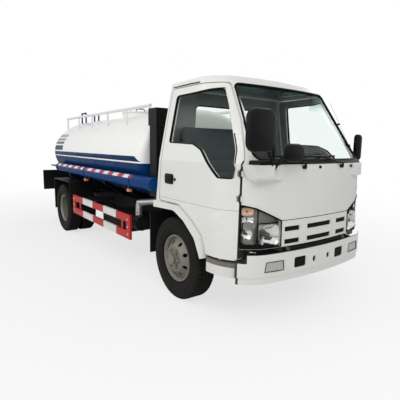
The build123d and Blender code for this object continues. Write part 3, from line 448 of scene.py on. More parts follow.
def panel_paint(tree):
    x, y, z = axes(tree)
    # painted shade: the hinge eyes that stand in the door gap are painted black like the gap's shade
    beside = above(calc("ABSOLUTE", y), EYE_SIDE)
    return choose(both(beside, below(x, EYE_FRONT)), WHITE, BLACK)


def bumper_paint(tree):
    x, y, z = axes(tree)
    # painted shade: the top under the grille, the end and the hollow the door swings through are painted
    # black as the shade of the gaps there
    edge = calc("MAXIMUM", above(z, BUMPER_TOP), below(x, BUMPER_END))
    near = within(x, calc("ABSOLUTE", y), DOOR_HINGE, DOOR_ROOM)
    bumper_painted_shade = calc("MAXIMUM", edge, both(near, above(z, HOLLOW_LOW)))
    return choose(bumper_painted_shade, WHITE, BLACK)


def step_paint(tree):
    x, y, z = axes(tree)
    # painted shade: a grey band for the shaded foot hollow, and black at the top for the shadow of the gap
    # under the door
    paint = choose(above(z, STEP_RECESS), WHITE, STEP_PAINTED_SHADE)
    return choose(above(z, STEP_GAP), paint, BLACK)


# %% [markdown]
# Lenses are coloured by where they sit: amber along the sides, and at the back amber outside, red in the
# middle and clear inside. The lenses in the bumper are clear, drawn as stripes of painted highlight and
# painted shade that stand for their ribs. The glass of the windscreen has a teal band along its top.

# %% Lamp and glass paint
LENS_RIB = 0.008
RED_LENS, AMBER_LENS, CLEAR_LENS = (0.5, 0.02, 0.015, 1), (0.75, 0.2, 0.02, 1), (0.75, 0.75, 0.72, 1)
# the two rib colours are painted highlight and painted shade, striped across the bumper lenses
SIDE_LENS, RIB_PAINTED_HIGHLIGHT, RIB_PAINTED_SHADE = (0.72, 0.22, 0.05, 1), (0.55, 0.55, 0.53, 1), (0.36, 0.36, 0.35, 1)
AMBER_FROM, CLEAR_UNTIL = 0.72, 0.60
TAIL_END, NOSE_START = ahead(-3000), ahead(500)
GLASS_TINT, BAND_TINT = (0.93, 0.965, 0.95, 1), (0.34, 0.55, 0.54, 1)
BAND_LOW, BAND_HIGH, BAND_START = 1.80, 1.93, ahead(200)


def lamp_paint(tree):
    x, y, z = axes(tree)
    wide = calc("ABSOLUTE", y)
    rear = choose(above(wide, AMBER_FROM), RED_LENS, AMBER_LENS)
    rear = choose(below(wide, CLEAR_UNTIL), rear, CLEAR_LENS)
    paint = choose(above(x, TAIL_END), rear, SIDE_LENS)
    # painted highlight and shade: stripes stand for the light on the lens's ribs
    rib_painted_light = above(calc("PINGPONG", y, LENS_RIB), LENS_RIB / 2)
    return choose(above(x, NOSE_START), paint, choose(rib_painted_light, RIB_PAINTED_HIGHLIGHT, RIB_PAINTED_SHADE))


def screen_tint(tree):
    x, y, z = axes(tree)
    span = [("Value", z), ("From Min", BAND_LOW), ("From Max", BAND_HIGH)]
    fade = put(tree, "ShaderNodeMapRange", span).outputs["Result"]
    return choose(both(fade, above(x, BAND_START)), GLASS_TINT, BAND_TINT)


# %% Finishes by material slot
GLASS_IOR = 1.05
GLOSS = dict(smooth=0.24, coat=0.5, dirt=0.16, reach=1.0)


def glass(name, tint, pattern=None):
    """Clear glass; pattern may replace its even tint."""
    look = bpy.data.materials.new(name)
    look.use_nodes = True
    shader = look.node_tree.nodes["Principled BSDF"]
    shader.inputs["Base Color"].default_value = tint
    if pattern:
        link(look.node_tree, pattern(look.node_tree), shader.inputs["Base Color"])
    shader.inputs["Roughness"].default_value = 0.0
    shader.inputs["Transmission Weight"].default_value = 1.0
    shader.inputs["IOR"].default_value = GLASS_IOR
    return look


looks = {
    "white_paint": finish("white_gloss", WHITE[:3], **GLOSS),
    "blue_paint": finish("blue_gloss", TUBE_BLUE[:3], 0.24, coat=0.02, dirt=0.08, shine=0.03),
    "frame_black": finish("chassis_black", BLACK[:3], 0.42, dirt=0.1, reach=0.8, scale=160, depth=0.5,
                          shine=0.1),
    "grey_metal": finish("cast_grey", (0.06, 0.06, 0.062), 0.5, metal=0.4, dirt=0.4, scale=220, depth=0.6),
    "guard_red": finish("guard_bands", None, 0.35, coat=0.05, dirt=0.15, reach=0.9, shine=0.2,
                        pattern=guard_paint),
    "black_plastic": finish("moulded_black", BLACK[:3], 0.38, dirt=0.06, scale=900, depth=0.4, shine=0.1),
    "dash_grey": finish("dash_grain", (0.05, 0.052, 0.055), 0.6, dirt=0.1, scale=700, depth=0.5),
    "seat_fabric": finish("seat_cloth", (0.07, 0.075, 0.08), 0.85, dirt=0.1, scale=1200, depth=0.8),
    "lamp_clear": finish("lamp_backing", (0.4, 0.4, 0.39), 0.25, metal=0.5, dirt=0.1),
    "lamp_red": finish("lamp_lenses", None, 0.12, coat=0.7, dirt=0.15, scale=120, depth=0.4,
                       pattern=lamp_paint),
    "wheel_steel": finish("wheel_silver", (0.185, 0.18, 0.163), 0.38, metal=0.55, dirt=0.75, reach=1.3,
                          scale=260, depth=0.3),
    "tyre_rubber": finish("tyre_black", (0.008, 0.008, 0.007), 0.62, dirt=0.035, reach=1.0, scale=320,
                          depth=0.7, shine=0.08),
    "window_glass": glass("window_tint", GLASS_TINT, screen_tint),
    "tank_paint": finish("tank_bands", None, 0.2, coat=0.03, dirt=0.04, reach=1.4, shine=0.04,
                         pattern=tank_paint),
    "tube_paint": finish("tube_and_tape", None, 0.26, coat=0.02, dirt=0.05, shine=0.03, pattern=tube_paint),
    "step_paint": finish("step_gloss", None, 0.3, coat=0.3, dirt=0.4, reach=1.0, pattern=step_paint),
    "lens": glass("clear_lens", (0.97, 0.97, 0.96, 1)),
    "chrome": finish("lamp_chrome", (0.75, 0.75, 0.74), 0.05, metal=1.0, dirt=0.1, scale=60, depth=0.3),
    "amber": finish("amber_lens", (0.64, 0.42, 0.29), 0.12, coat=0.6, dirt=0.1, scale=150, depth=0.5),
    "tray": finish("lamp_tray", (0.27, 0.26, 0.23), 0.3, metal=0.6, dirt=0.05, scale=200, depth=0.3),
    "silver_pipe": finish("bright_pipe", (0.62, 0.62, 0.60), 0.28, metal=0.9, dirt=0.3, scale=90, depth=0.5),
    "rubber": finish("seal_rubber", (0.004, 0.004, 0.005), 0.5, dirt=0.03, scale=600, depth=0.4, shine=0.06),
    "mirror": finish("mirror_silver", (0.82, 0.83, 0.84), 0.02, metal=1.0, dirt=0.05, scale=20, depth=0.02),
}
PAINTED = {"door": door_paint, "bumper": bumper_paint, "roof": roof_paint, "panel": panel_paint,
           "back": back_paint}
for name, pattern in PAINTED.items():
    looks[name + "_paint"] = finish(name + "_gloss", None, pattern=pattern, **GLOSS)

# nodes whose look isn't that of their material slot
SPECIAL = {
    "tank_shell": "tank_paint", "hose_tubes": "tube_paint", "intake_pipe": "silver_pipe",
    "front_bumper": "bumper_paint", "cab_steps": "step_paint", "door_left": "door_paint",
    "door_right": "door_paint", "cab_front_panel": "panel_paint", "cab_roof": "roof_paint",
    "cab_back_panel": "back_paint",
}
slots = {s["node"]: s["material_slot"] for s in frame["record"]["subparts"]}
for name, node in nodes.items():
    node.data.materials.clear()
    node.data.materials.append(looks[SPECIAL.get(name, slots[name])])
print("finishes", len(looks), "on", len(nodes), "nodes")

# %% [markdown]
# ## Tools for the pieces
# A piece made of rings is a stack of closed outlines joined by faces, with a cap at each
# end: nuts, plates, dishes and knobs all come from it. Repeated pieces come from small
# Geometry Nodes trees. A tree runs on a seed mesh, and its result is kept as a plain mesh.

# %% Ring and plate helpers
CORNER_POINTS = 24
EDGE_STEPS = (0.3, 0.7, 1.0)  # shares of a plate's rounded edge
LEAST_CORNER = 0.002


def mesh_of(name, points, edges=(), faces=()):
    mesh = bpy.data.meshes.new(name)
    mesh.from_pydata([tuple(p) for p in points], list(edges), list(faces))
    return mesh


def outwards(mesh):
    """Turns the faces of closed shapes outwards."""
    work = bmesh.new()
    work.from_mesh(mesh)
    bmesh.ops.recalc_face_normals(work, faces=work.faces)
    work.to_mesh(mesh)
    work.free()
    return mesh


def place(name, mesh, body, look, angle=32):
    """Puts a finished mesh on its body, shaded smooth except at sharp edges."""
    mesh.materials.clear()
    mesh.materials.append(looks[look])
    mesh.shade_smooth()
    mesh.set_sharp_from_angle(angle=math.radians(angle))
    piece = add_object(name, mesh)
    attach(piece, body)
    return piece


def stacked(name, stacks):
    """A mesh of closed stacks of rings, whose faces point outwards."""
    points, faces = [], []
    for rings in stacks:
        first, count = len(points), len(rings[0])
        for ring in rings:
            points += ring
        for i in range(len(rings) - 1):
            for j in range(count):
                a, b = first + i * count + j, first + i * count + (j + 1) % count
                faces.append((a, b, b + count, a + count))
        last = first + (len(rings) - 1) * count
        faces.append(tuple(reversed(range(first, first + count))))
        faces.append(tuple(range(last, last + count)))
    return outwards(mesh_of(name, points, faces=faces))


def built(name, stacks, body, look, angle=32):
    """A piece made of stacks of rings, in its place."""
    return place(name, stacked(name, stacks), body, look, angle)


def rounded(centre, u, v, wide, high, corner):
    """Points of a rounded rectangle round a centre, in metres."""
    ring = []
    for n in range(CORNER_POINTS):
        turn = 2 * math.pi * (n + 0.5) / CORNER_POINTS
        x = math.copysign(wide / 2 - corner, math.cos(turn)) + corner * math.cos(turn)
        y = math.copysign(high / 2 - corner, math.sin(turn)) + corner * math.sin(turn)
        ring.append(Vector(centre) + Vector(u) * x + Vector(v) * y)
    return ring


def plate(centre, u, v, wide, high, corner, thick, edge):
    """Rings of a plate with rounded corners and a rounded face, given in millimetres."""
    wide, high, corner, thick, edge = mm(wide, high, corner, thick, edge)
    up = Vector(u).cross(Vector(v))
    rings = [rounded(centre + up * rise, u, v, wide, high, corner) for rise in (0, thick - edge)]
    for part in EDGE_STEPS:
        inset = 2 * edge * (1 - math.sqrt(1 - part * part))
        step = centre + up * (thick - edge + edge * part)
        rings.append(rounded(step, u, v, wide - inset, high - inset, max(corner - inset / 2, LEAST_CORNER)))
    return rings


def disc(centre, axis, profile, count=24, flats=False):
    """Rings round an axis from (radius, height) pairs in millimetres; flats gives six sides."""
    axis = Vector(axis).normalized()
    u = axis.orthogonal().normalized()
    v = axis.cross(u)
    rings = []
    for radius, height in profile:
        ring = []
        for n in range(count):
            turn = 2 * math.pi * n / count
            r = radius * (math.cos(math.pi / 6) if flats and n % 2 else 1) / 1000
            ring.append(Vector(centre) + axis * height / 1000 + (u * math.cos(turn) + v * math.sin(turn)) * r)
        rings.append(ring)
    return rings


# %% [markdown]
# Three trees do the repeating. The first turns one segment round an axle, as a tyre mould
# does. The second sets a small shape on each of a set of points. The third lays a round
# bead along edges, either all of a seed's edges or only the sharp rim of a copied pane.

# %% Geometry Nodes trees
WHOLE, REAL, STUFF = "NodeSocketInt", "NodeSocketFloat", "NodeSocketMaterial"
WELD = 0.00005  # points closer than this become one
BEAD_SIDES = 8
EVERY_EDGE, RIM_EDGES = -1.0, 0.7  # a bead's least edge angle in radians


def geometry_tree(name, inputs):
    """An empty geometry tree with its named inputs, and its two end nodes."""
    tree = bpy.data.node_groups.new(name, "GeometryNodeTree")
    tree.interface.new_socket("Seed", in_out="INPUT", socket_type="NodeSocketGeometry")
    for label, kind, value in inputs:
        socket = tree.interface.new_socket(label, in_out="INPUT", socket_type=kind)
        if value is not None:
            socket.default_value = value
    tree.interface.new_socket("Piece", in_out="OUTPUT", socket_type="NodeSocketGeometry")
    return tree, tree.nodes.new("NodeGroupInput").outputs, tree.nodes.new("NodeGroupOutput")


def close_tree(tree, given, end, shape):
    """Ends a tree in Realize Instances, smooth shading and its material."""
    real = put(tree, "GeometryNodeRealizeInstances", [("Geometry", shape)]).outputs[0]
    even = put(tree, "GeometryNodeSetShadeSmooth", [(0, real)]).outputs[0]
    dressed = put(tree, "GeometryNodeSetMaterial", [("Geometry", even), ("Material", given["Look"])])
    link(tree, dressed.outputs[0], end.inputs[0])


turned, given, end = geometry_tree("turned_segments", [("Segments", WHOLE, 60), ("Look", STUFF, None)])
axle_points = put(turned, "GeometryNodePoints", [("Count", given["Segments"])]).outputs[0]
number = put(turned, "GeometryNodeInputIndex").outputs[0]
angle = calc("DIVIDE", calc("MULTIPLY", number, 2 * math.pi), given["Segments"])
spin = put(turned, "ShaderNodeCombineXYZ", [("Y", angle)]).outputs[0]
copies = put(turned, "GeometryNodeInstanceOnPoints",
             [("Points", axle_points), ("Instance", given["Seed"]), ("Rotation", spin)]).outputs[0]
solid = put(turned, "GeometryNodeRealizeInstances", [("Geometry", copies)]).outputs[0]
joined = put(turned, "GeometryNodeMergeByDistance", [("Geometry", solid), ("Distance", WELD)]).outputs[0]
close_tree(turned, given, end, joined)

studded, given, end = geometry_tree(
    "shape_on_points", [("Shape", "NodeSocketObject", None), ("Look", STUFF, None)]
)
shape = put(studded, "GeometryNodeObjectInfo", [("Object", given["Shape"])]).outputs["Geometry"]
studs = put(studded, "GeometryNodeInstanceOnPoints",
            [("Points", given["Seed"]), ("Instance", shape)]).outputs[0]
close_tree(studded, given, end, studs)

beaded, given, end = geometry_tree(
    "bead_on_edges", [("Radius", REAL, 0.006), ("Sharp", REAL, EVERY_EDGE), ("Look", STUFF, None)]
)
welded = put(beaded, "GeometryNodeMergeByDistance",
             [("Geometry", given["Seed"]), ("Distance", WELD)]).outputs[0]
bend = put(beaded, "GeometryNodeInputMeshEdgeAngle").outputs["Unsigned Angle"]
sharp = put(beaded, "FunctionNodeCompare", [(0, bend), (1, given["Sharp"])],
            operation="GREATER_THAN").outputs[0]
line = put(beaded, "GeometryNodeMeshToCurve", [("Mesh", welded), ("Selection", sharp)]).outputs[0]
section = put(beaded, "GeometryNodeCurvePrimitiveCircle",
              [("Resolution", BEAD_SIDES), ("Radius", given["Radius"])]).outputs[0]
bead = put(beaded, "GeometryNodeCurveToMesh",
           [("Curve", line), ("Profile Curve", section), ("Fill Caps", True)]).outputs[0]
close_tree(beaded, given, end, bead)


def grown(name, seed_mesh, tree, look, **values):
    """Runs a tree on a seed mesh and gives back the result as a plain mesh."""
    seed = add_object(name + "_seed", seed_mesh)
    runner = seed.modifiers.new(name, "NODES")
    runner.node_group = tree
    values["Look"] = looks[look]
    for item in tree.interface.items_tree:
        if item.item_type == "SOCKET" and item.in_out == "INPUT" and item.name in values:
            runner[item.identifier] = values[item.name]
    ready = seed.evaluated_get(bpy.context.evaluated_depsgraph_get())
    mesh = bpy.data.meshes.new_from_object(ready)
    bpy.data.objects.remove(seed)
    mesh.name = name
    return mesh


def beads(name, seed_mesh, radius, body, look, sharp=EVERY_EDGE):
    """A round bead along a seed's edges; radius in millimetres."""
    mesh = grown(name, seed_mesh, beaded, look, Radius=radius / 1000, Sharp=sharp)
    return place(name, mesh, body, look, angle=60)


def bars(name, paths, radius, body, look, closed=False):
    """Round bars along paths of points."""
    points, edges = [], []
    for path in paths:
        first = len(points)
        points += path
        edges += [(first + i, first + i + 1) for i in range(len(path) - 1)]
        if closed:
            edges.append((first + len(path) - 1, first))
    return beads(name, mesh_of(name, points, edges), radius, body, look)


def repeated(name, points, stack, body, look):
    """The same small stack of rings at each point."""
    shape = add_object(name + "_shape", stacked(name + "_shape", [stack]))
    mesh = grown(name, mesh_of(name + "_points", points), studded, look, Shape=shape)
    bpy.data.objects.remove(shape)
    return place(name, mesh, body, look)


print("trees", [t.name for t in (turned, studded, beaded)])

# %% [markdown]
# ## Wheels
# A light-truck tyre has straight grooves round its tread and cross slots at its shoulders.
# One segment is drawn from its profile, with the shoulder cut away over part of its length,
# and the first tree turns it round the axle. Sculpting a whole tyre would repeat that work.

# %% Tyres
TYRE_RADIUS = 388
# radius and distance from the middle of the tyre, from the bead out to the tread's edge
SIDEWALL = ((206, 62), (226, 64), (233, 88), (240, 93), (244, 92), (262, 100), (290, 105), (300, 105.8),
            (303, 104.6), (325, 103.8), (345, 100.5), (348, 102), (354, 101), (357, 98), (366, 95))
SHOULDER = ((374, 91), (381, 86), (386, 80))
SHOULDER_CUT = (0.6, 0.8, 1.0)  # shares of a cross slot's depth there
TREAD_EDGE = (387.4, 74)
# edges of the straight grooves from the tread's edge inwards; the cross slots reach the first
GROOVES = ((56, 48, True), (22, 14, False))
GROOVE_DEPTH, GROOVE_SLOPE = 9, 1.5
SLOT_DEPTH, SLOT_SHARE, SLOT_SLOPE = 9, 0.34, 0.06
SEGMENTS = 56


def half_profile(slotted):
    """Radius and side distance of half a tyre; slotted lowers the shoulder."""
    cut = SLOT_DEPTH if slotted else 0
    half = list(SIDEWALL) + [(r - cut * share, y) for share, (r, y) in zip(SHOULDER_CUT, SHOULDER)]
    half.append((TREAD_EDGE[0] - cut, TREAD_EDGE[1]))
    floor = TYRE_RADIUS - GROOVE_DEPTH
    for outer, inner, reached in GROOVES:
        half += [(TYRE_RADIUS - (cut if reached else 0), outer), (floor, outer - GROOVE_SLOPE),
                 (floor, inner + GROOVE_SLOPE), (TYRE_RADIUS, inner)]
    return half


def tyre_segment(name, middles):
    """One segment of each tyre of a wheel, as a strip of its profile."""
    step = 2 * math.pi / SEGMENTS
    stages = ((0, False), (SLOT_SLOPE, True), (SLOT_SHARE, True), (SLOT_SHARE + SLOT_SLOPE, False),
              (1, False))
    points, faces = [], []
    for middle in middles:
        stations = []
        for share, slotted in stages:
            half = half_profile(slotted)
            loop = [(r, -y) for r, y in half] + [(r, y) for r, y in reversed(half)]
            turn = share * step
            stations.append(len(points))
            points += [mm(r * math.sin(turn), middle + y, r * math.cos(turn)) for r, y in loop]
        count = len(loop)
        for a, b in zip(stations, stations[1:]):
            faces += [(a + j, a + (j + 1) % count, b + (j + 1) % count, b + j) for j in range(count)]
    return mesh_of(name, points, faces=faces)


REAR_X = -3360
# wheel, its tyres, place along the truck, middles of the tyres, and y of its nuts and its drum
AXLES = (
    ("front_wheel_", "front_tyre_", 0, (752,), 856, 740),
    ("rear_wheels_", "rear_tyres_", REAR_X, (597.5, 827.5), 723.5, 560),
)
WHEELS = [(wheel + hand, tyres + hand, side, *rest) for wheel, tyres, *rest in AXLES for hand, side in SIDES]
for body, node, side, x, middles, nut_y, drum_y in WHEELS:
    segment = tyre_segment(node, [side * m for m in middles])
    mesh = grown(node + "_tread", segment, turned, "tyre_rubber", Segments=SEGMENTS)
    mesh.transform(Matrix.Translation(spot(x, 0, TYRE_RADIUS)))
    tyre = place(node + "_tread", outwards(mesh), body, "tyre_rubber", angle=38)
    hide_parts(node)
    print(tyre.name, len(mesh.polygons), "faces")

# %% [markdown]
# Six-sided nuts on their studs hold each wheel. One nut is a stack of rings with every
# other corner drawn in, and the second tree sets it on the six places of each wheel. Through
# the hand holes of a wheel one sees its brake drum, a black iron pot.

# %% Wheel nuts and brake drums
NUT = ((19, -6), (19, 15), (15.5, 19), (10, 19.2), (9.4, 29), (6, 31))
NUT_CIRCLE, NUT_COUNT = 85, 6
DRUM = ((60, 0), (150, 0), (160, 8), (164, 14), (164, 52), (158, 60), (70, 62), (50, 62))


def circle(count, radius):
    """Points of a circle, in its own plane."""
    turns = [2 * math.pi * n / count for n in range(count)]
    return [(radius * math.cos(t), radius * math.sin(t)) for t in turns]


for body, node, side, x, middles, nut_y, drum_y in WHEELS:
    studs = [spot(x + a, side * nut_y, TYRE_RADIUS + b) for a, b in circle(NUT_COUNT, NUT_CIRCLE)]
    nut = disc((0, 0, 0), side * ACROSS, NUT, 12, flats=True)
    repeated(body + "_nuts", studs, nut, body, "wheel_steel")
for body, node, side, x, middles, nut_y, drum_y in WHEELS:
    drum = disc(spot(x, side * drum_y, TYRE_RADIUS), side * ACROSS, DRUM, 48)
    built(body + "_drum", [drum], body, "frame_black")

# %% [markdown]
# ## Window seals
# Each pane sits in a black rubber seal. The seal follows the pane's rim exactly, so the
# pane is copied and the third tree lays its bead on every edge sharper than forty degrees.

# %% Window seals
SEALS = (("door_glass_left", "door_left", 10.5), ("door_glass_right", "door_right", 10.5),
         ("cab_glass", "cab", 13.0))
for node, body, radius in SEALS:
    seal = beads(node + "_seal", nodes[node].data.copy(), radius, body, "rubber", RIM_EDGES)
    print(seal.name, len(seal.data.polygons), "faces")

# %% [markdown]
# ## Cab front
# Below the windscreen lies a black strip that takes the wipers, and the slots of the grille
# and the holes of the bumper open onto black inserts. All of them follow the front's bow,
# which is an arc seen from above, so each insert is a strip of points along that arc.

# %% Inserts along the bowed front
BOW_RADIUS = 3600
BELT_Z = 1305
# height and front of the cab on the middle line, from the sill over the belt to the roof
CAB_FRONT = ((545, 964), (BELT_Z, 948), (2020, 478))
BUMPER_FRONT = 996
# y of the middle, width and z of each slot, in millimetres
GRILLE_SLOTS = [(y, wide, z) for y, wide in ((0, 318), (330, 164), (-330, 164)) for z in (794, 692)]
SLOT_HALF, SLOT_BACK, SLOT_SHEET = 20, 10, 6
# tow hook and plate holes: inner and outer y, low and high z
BUMPER_HOLES = ((196, 330, 474, 562), (75, 113, 492, 542))
HOLE_BACK, HOLE_SHEET = 9, 4
COWL_HALF, COWL_LOW, COWL_HIGH, COWL_PROUD, COWL_SHEET = 668, 1303, 1333, 3, 4
SEAM_Z, SEAM_STEP = 866, 44
FOG = ((440, 476), (532, 478), (624, 480), (618, 518), (612, 556), (529, 556), (446, 556), (443, 516))
NOZZLE = ((13, -4), (13, 4), (10, 11), (5, 14))
NOZZLE_Z, NOZZLE_Y = 1277, (-227, -28, 280, 464)


def bow(y):
    """How far the arc of the front falls back at this y."""
    return math.sqrt(BOW_RADIUS**2 - y * y) - BOW_RADIUS


def cab_front(y, z):
    """X of the cab's front at this y and z, in millimetres from the front axle."""
    (z0, x0), (z1, x1) = CAB_FRONT[:2] if z < BELT_Z else CAB_FRONT[1:]
    return x0 + (x1 - x0) * (z - z0) / (z1 - z0) + bow(y)


def bumper_front(y, z):
    return BUMPER_FRONT + bow(y)


def strip(front, y0, y1, z0, z1, back, thick, columns=10):
    """Rings of a thin strip behind a bowed front, in millimetres."""
    section = ((z0, back), (z1, back), (z1, back + thick), (z0, back + thick))
    places = [y0 + (y1 - y0) * n / columns for n in range(columns + 1)]
    return [[spot(front(y, z) - depth, y, z) for z, depth in section] for y in places]


inserts = [strip(cab_front, y - wide / 2, y + wide / 2, z - SLOT_HALF, z + SLOT_HALF, SLOT_BACK, SLOT_SHEET)
           for y, wide, z in GRILLE_SLOTS]
built("grille_inserts", inserts, "cab", "rubber")
inserts = [strip(bumper_front, *sorted((side * y0, side * y1)), z0, z1, HOLE_BACK, HOLE_SHEET, 4)
           for hand, side in SIDES for y0, y1, z0, z1 in BUMPER_HOLES]
built("bumper_inserts", inserts, "chassis", "rubber")
cowl = strip(cab_front, -COWL_HALF, COWL_HALF, COWL_LOW, COWL_HIGH, -COWL_PROUD, COWL_SHEET, 24)
built("cowl_strip", [cowl], "cab", "black_plastic")
seam = [spot(cab_front(y, SEAM_Z), y, SEAM_Z) for y in (SEAM_STEP * n for n in range(-10, 11))]
bars("grille_seam", [seam], 2.5, "cab", "rubber")
frames = [[spot(bumper_front(y, z) - 1, side * y, z) for y, z in FOG] for hand, side in SIDES]
bars("fog_lamp_frames", frames, 4.5, "chassis", "dash_grey", closed=True)
nozzle_places = [spot(cab_front(y, NOZZLE_Z), y, NOZZLE_Z) for y in NOZZLE_Y]
nozzle = disc((0, 0, 0), FORWARD, NOZZLE, 14)
repeated("washer_nozzles", nozzle_places, nozzle, "cab", "rubber")
print("inserts", len(GRILLE_SLOTS), "and", 2 * len(BUMPER_HOLES))

# %% [markdown]
# ## Headlamps
# A headlamp is a clear cover over a tray that holds the reflector bowls. The cover copies the
# outer faces of the lamp's solid, so its edges meet the body; the tray is the same surface
# pushed back, with walls. The bowls stand where a ray from the front meets the cover.

# %% Headlamp covers and trays
OUT_X, OUT_Y, OUT_LEAST, OUT_TILT = 0.75, 0.66, 0.35, 0.5
TRAY_CORNER, TRAY_EXTRA, TRAY_MIDDLE, TRAY_FADE = 0.030, 0.028, 0.70, 0.06
WALL_TOP, COVER_THICK = mm(4, 3)

lamp = bmesh.new()
lamp.from_mesh(nodes["headlamps"].data)
bmesh.ops.remove_doubles(lamp, verts=lamp.verts, dist=WELD)
lamp.normal_update()


def faces_out(face):
    """Whether a face of the lamp's solid looks forward and outward."""
    away = Vector((OUT_X, math.copysign(OUT_Y, face.calc_center_median().y), 0))
    return face.normal.dot(away) > OUT_LEAST and abs(face.normal.z) < OUT_TILT


def tray_depth(point):
    """Deep behind the main reflector and shallow at the corner, in metres."""
    return TRAY_CORNER + TRAY_EXTRA * min(1, max(0, (TRAY_MIDDLE - abs(point.y)) / TRAY_FADE))


bmesh.ops.delete(lamp, geom=[f for f in lamp.faces if not faces_out(f)], context="FACES")
lamp.normal_update()
lamp.verts.index_update()
cover_tree = BVHTree.FromBMesh(lamp)
cover = bpy.data.meshes.new("lamp_covers")
lamp.to_mesh(cover)
rims = [(e.verts[0].index, e.verts[1].index) for e in lamp.edges if e.is_boundary]
fronts = [v.co.copy() for v in lamp.verts]
outward = [v.normal.copy() for v in lamp.verts]
faces = [[v.index for v in f.verts] for f in lamp.faces]
lamp.free()
points = [co - normal * tray_depth(co) for co, normal in zip(fronts, outward)]
lifted = {}
for index in sorted({i for pair in rims for i in pair}):
    lifted[index] = len(points)
    points.append(fronts[index] - outward[index] * WALL_TOP)
faces += [[a, b, lifted[b], lifted[a]] for a, b in rims]
place("lamp_trays", mesh_of("lamp_trays", points, faces=faces), "cab", "tray")
shell = place("lamp_covers", cover, "cab", "lens", angle=40)
thickness = shell.modifiers.new("thickness", "SOLIDIFY")
thickness.thickness, thickness.offset = COVER_THICK, -1
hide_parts("headlamps")

# %% [markdown]
# A black rubber rim parts each lamp from the paint, and a black sill closes the step below
# it. Both follow the cover's own edge, so they need no outline of their own.

# %% Headlamp rims and sills
RIM_RADIUS = 6.5
SILL_LOW, SILL_PROUD, SILL_EDGE = mm(657, 1.5, 700)
beads("lamp_rims", mesh_of("lamp_rims", fronts, rims), RIM_RADIUS, "cab", "rubber")
sills = []
for hand, side in SIDES:
    low_edge = [i for i in lifted if fronts[i].z < SILL_EDGE and fronts[i].y * side > 0]
    rings = []
    for i in sorted(low_edge, key=lambda i: -fronts[i].x):
        near, far = (fronts[i] + outward[i] * step for step in (SILL_PROUD, -WALL_TOP))
        rings.append([near, Vector((near.x, near.y, SILL_LOW)), Vector((far.x, far.y, SILL_LOW)), far])
    sills.append(rings)
built("lamp_sills", sills, "cab", "rubber")
print("lamp rims", len(rims), "edges")

# %% [markdown]
# Inside each lamp a large reflector sits towards the middle of the truck. Beside it, past a
# black bar, stand the turn lamp, a strip that throws its light back, and a small round lamp.

# %% Reflectors and bulbs
# y, z, width, height and depth in millimetres, corner as a share of the size, and finish
PANS = ((553, 757, 185, 172, 42, 0.3, "chrome"), (728, 948, 96, 58, 20, 0.3, "amber"),
        (728, 884, 96, 44, 18, 0.3, "chrome"), (730, 772, 84, 84, 20, 0.49, "chrome"))
PAN_SHARES = (0.95, 0.86, 0.72, 0.55, 0.36)
PAN_SUNK, PAN_FORWARD, BOWL_SHARE = 9, 0.6, 0.95
# radius and height of a bulb, as shares of its own radius and of the pan's depth
BULB_SHARE, BULB = 0.11, ((1, 0), (1, 0.55), (0.8, 0.68), (0.3, 0.72))
BAR_Y, BAR_LEVELS, SHELF_Z, SHELF_PLACES = 657, (694, 760, 830, 900, 958), 855, (470, 530, 590, 650)
BAR_SUNK, RAY_START = 7, ahead(1200)


def on_cover(side, y, z, sunk):
    """Point under the cover straight behind (y, z), and the cover's normal there."""
    start = Vector((RAY_START, side * y / 1000, z / 1000))
    hit, normal, index, far = cover_tree.ray_cast(start, -FORWARD)
    return hit - normal * sunk / 1000, normal


def pan(centre, axis, wide, high, deep, corner):
    """Rings of a reflector pan with a rounded mouth, in millimetres."""
    u = UPWARDS.cross(axis).normalized()
    v = axis.cross(u)
    wide, high, deep = mm(wide, high, deep)
    corner *= min(wide, high)
    rings = [rounded(centre - axis * down, u, v, wide, high, corner) for down in (deep, 0)]
    for share in PAN_SHARES:
        step = centre - axis * deep * BOWL_SHARE * (1 - share * share)
        rings.append(rounded(step, u, v, wide * share, high * share, corner * share))
    return rings


pans = {"chrome": [], "amber": []}
bulbs = []
for y, z, wide, high, deep, corner, kind in PANS:
    for hand, side in SIDES:
        centre, normal = on_cover(side, y, z, PAN_SUNK)
        axis = (normal + PAN_FORWARD * FORWARD).normalized()
        pans[kind].append(pan(centre, axis, wide, high, deep, corner))
        radius = BULB_SHARE * min(wide, high)
        bulb = [(radius * r, deep * h) for r, h in BULB]
        bulbs.append(disc(centre - axis * deep / 1000, axis, bulb, 16))
for kind, stacks in pans.items():
    built("lamp_pans_" + kind, stacks, "cab", kind, angle=50)
built("lamp_bulbs", bulbs, "cab", "grey_metal")
dividers = []
for hand, side in SIDES:
    dividers.append([on_cover(side, BAR_Y, z, BAR_SUNK)[0] for z in BAR_LEVELS])
    dividers.append([on_cover(side, y, SHELF_Z, BAR_SUNK)[0] for y in SHELF_PLACES])
bars("lamp_dividers", dividers, 5, "cab", "rubber")
print("reflectors", 2 * len(PANS))

# %% [markdown]
# ## Doors and mirrors
# The handle is a black bezel round a hand recess, with a flap to pull, and a lock beside it.
# All are plates with rounded corners.

# %% Door handles
DOOR_Y = 871.6
# middle, and then width, height, corner, thickness and rounding of the plate
BEZEL, BEZEL_PLATE = (-61, DOOR_Y, 1134), (150, 95, 26, 7, 4)
FLAP, FLAP_PLATE = (-61, 878.2, 1146), (122, 46, 18, 9, 5)
LOCK, LOCK_DISC = (38, DOOR_Y, 1134), ((15, 0), (15, 4), (12, 6.5), (4, 6.5), (3, 5))
for hand, side in SIDES:
    parts = []
    for (x, y, z), sizes in ((BEZEL, BEZEL_PLATE), (FLAP, FLAP_PLATE)):
        parts.append(plate(spot(x, side * y, z), -side * FORWARD, UPWARDS, *sizes))
    parts.append(disc(spot(LOCK[0], side * LOCK[1], LOCK[2]), side * ACROSS, LOCK_DISC, 20))
    body = "door_" + hand
    built(body + "_handle", parts, body, "black_plastic")

# %% [markdown]
# The mirror housings are domed at the front and flat behind, where the glass is. They take
# the place of the plainer solids, together with the tubes that carry them.

